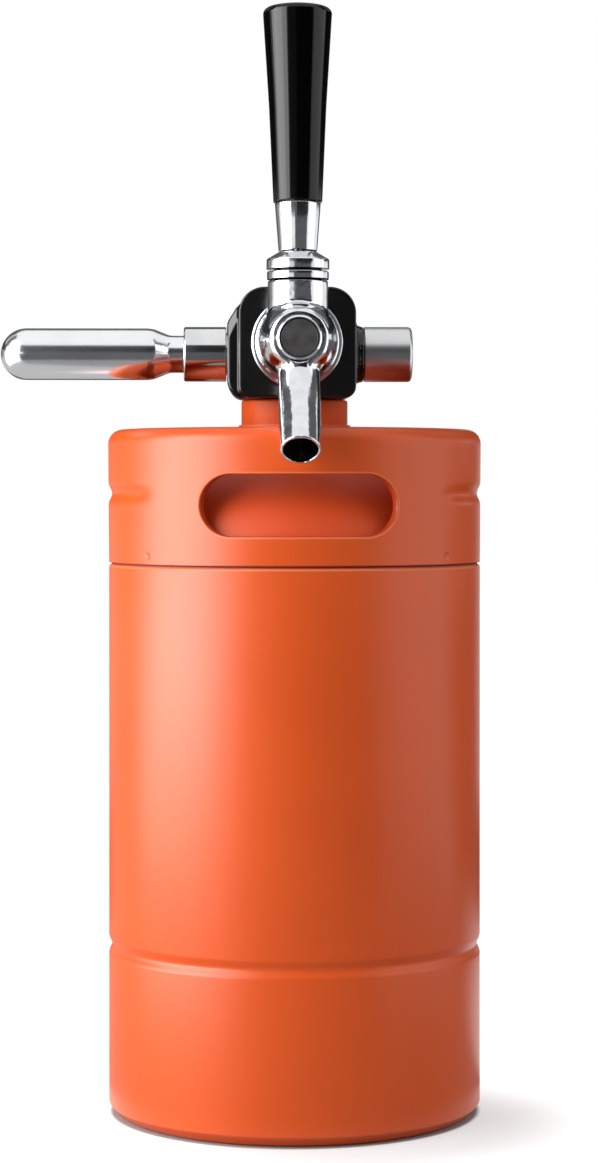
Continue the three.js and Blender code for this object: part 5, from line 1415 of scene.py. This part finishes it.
def softbox(name, azimuth, distance, width, low, high, radiance, diffuse, glossy):
    """Upright lamp that faces the object; the azimuth is counted from the front, to the right."""
    data = bpy.data.lights.new(name, "AREA")
    data.shape = "RECTANGLE"
    data.size, data.size_y = width, high - low
    data.energy = radiance * math.pi * width * (high - low)
    turn = math.radians(azimuth)
    lamp = linked(name, data)
    lamp.location = (distance * math.sin(turn), -distance * math.cos(turn), (low + high) / 2)
    lamp.rotation_euler = (math.pi / 2, 0, turn)
    lamp.visible_diffuse, lamp.visible_glossy = diffuse, glossy


def staged(name, points, faces, material):
    sheet = linked(name, drawn(name, points, faces))
    sheet.data.materials.append(material)
    return sheet


def card(name, start, end, rows, material):
    """Card bent round the object between two azimuths, through rows of (distance, level).

    Only reflections show it.
    """
    turns = np.radians(np.linspace(start, end, CARD_STEPS + 1))
    points = [(reach * math.sin(t), -reach * math.cos(t), level) for t in turns for reach, level in rows]
    count = len(rows)
    faces = [(i * count + k, i * count + k + 1, (i + 1) * count + k + 1, (i + 1) * count + k)
             for i in range(CARD_STEPS) for k in range(count - 1)]
    sheet = staged(name, points, faces, material)
    sheet.visible_camera = sheet.visible_diffuse = sheet.visible_shadow = False


def light_path(tree, names):
    """1 for a ray of any of the named kinds."""
    outputs = tree.add("ShaderNodeLightPath").output.node.outputs
    seen = Socket(tree, outputs[names[0]])
    for name in names[1:]:
        seen = tree.maths("MAXIMUM", seen, Socket(tree, outputs[name]))
    return seen


WHITE_RAYS = ("Is Camera Ray", "Is Glossy Ray", "Is Transmission Ray")


def bare_material(name):
    """A material without a surface, its tree, and the input that takes one."""
    material = bpy.data.materials.new(name)
    material.use_nodes = True
    nodes = material.node_tree.nodes
    nodes.remove(nodes["Principled BSDF"])
    return material, Tree(material.node_tree), nodes["Material Output"].inputs["Surface"]


def floor_material():
    """Pale floor whose own white, seen by the camera and in reflections, dims round the object as a painted shadow
    and goes out under its foot, leaving a painted contact shadow at its edge.
    """
    material, tree, surface = bare_material("floor")
    place = tree.add("ShaderNodeTexCoord", None, None, "Object")
    from_shadow_centre = tree.add("ShaderNodeVectorMath", {"operation": "DISTANCE"}, {0: place, 1: FLOOR_SHADOW_SHIFT}, 1)
    off_axis = tree.add("ShaderNodeVectorMath", {"operation": "LENGTH"}, {0: place}, 1)
    # Painted shadow round the object and painted contact shadow at its foot
    away, clear = tree.step(from_shadow_centre, *FLOOR_SHADOW_FADE), tree.step(off_axis, *FLOOR_CONTACT_SHADOW)
    pale = tree.add("ShaderNodeBsdfDiffuse", None, {"Color": (*[FLOOR_GREY] * 3, 1)})
    glow_with_painted_shadow = tree.mix(away, (*[FLOOR_SHADOW_GLOW] * 3, 1), (1, 1, 1, 1))
    shine = tree.add("ShaderNodeEmission", None, {"Color": glow_with_painted_shadow, "Strength": light_path(tree, WHITE_RAYS) * clear})
    both = tree.add("ShaderNodeAddShader", None, {0: pale, 1: shine})
    tree.tree.links.new(both.output, surface)
    return material


def card_material(name, colour):
    material, tree, surface = bare_material(name)
    grey = tree.add("ShaderNodeEmission", None, {"Color": colour, "Strength": 1.0})
    tree.tree.links.new(grey.output, surface)
    return material


def set_world():
    """White for the camera and for reflections, and a softer grey as the light on the object."""
    world = bpy.data.worlds.new("studio")
    bpy.context.scene.world = world
    world.use_nodes = True
    tree = Tree(world.node_tree)
    background = world.node_tree.nodes["Background"]
    background.inputs["Color"].default_value = (1, 1, 1, 1)
    strength = WORLD_LIGHT + light_path(tree, WHITE_RAYS) * (1 - WORLD_LIGHT)
    world.node_tree.links.new(strength.output, background.inputs["Strength"])


def set_floor():
    reach = FLOOR_REACH
    corners = [(-reach, -reach, 0), (reach, -reach, 0), (reach, reach, 0), (-reach, reach, 0)]
    staged("floor", corners, [(0, 1, 2, 3)], floor_material())


def set_cards():
    shades = {name: card_material(name + "_card", colour) for name, colour in CARD_SHADES.items()}
    for name, (start, end, rows, shade) in CARDS.items():
        card(name, start, end, rows, shades[shade])
    for name, (start, end, rows, shade) in PAIRED_CARDS.items():
        for side, sign in (("left", -1), ("right", 1)):
            card(name + "_" + side, start * sign, end * sign, rows, shades[shade])


def studio():
    set_camera()
    set_world()
    set_floor()
    set_cards()
    for name, settings in LAMPS.items():
        softbox(name, *settings)
    bpy.context.scene.view_settings.view_transform = "Standard"


def keg():
    keg_shell()
    base_plate()
    inner_vessel()
    neck_tube()
    collar()


def head():
    """The head with its fittings on the gas axis, on the tap's axis, at the pivot and below."""
    moulded_head()
    cast_tap()
    left, right, front = lying("left", gas_level), lying("right", gas_level), lying("front", tap_level)
    for build, place in ((socket, left), (cartridge, left), (cartridge_face_seal, left), (pierce_needle, left),
                         (knob, right), (clamp_nut, front), (nose_plug, front)):
        build(place)
    for build in (lock_ring, lever_bonnet, lever_rod, ferrule, handle, dip_pipe, check_valve, gasket):
        build()


studio()
keg()
head()
dress_cad_nodes()
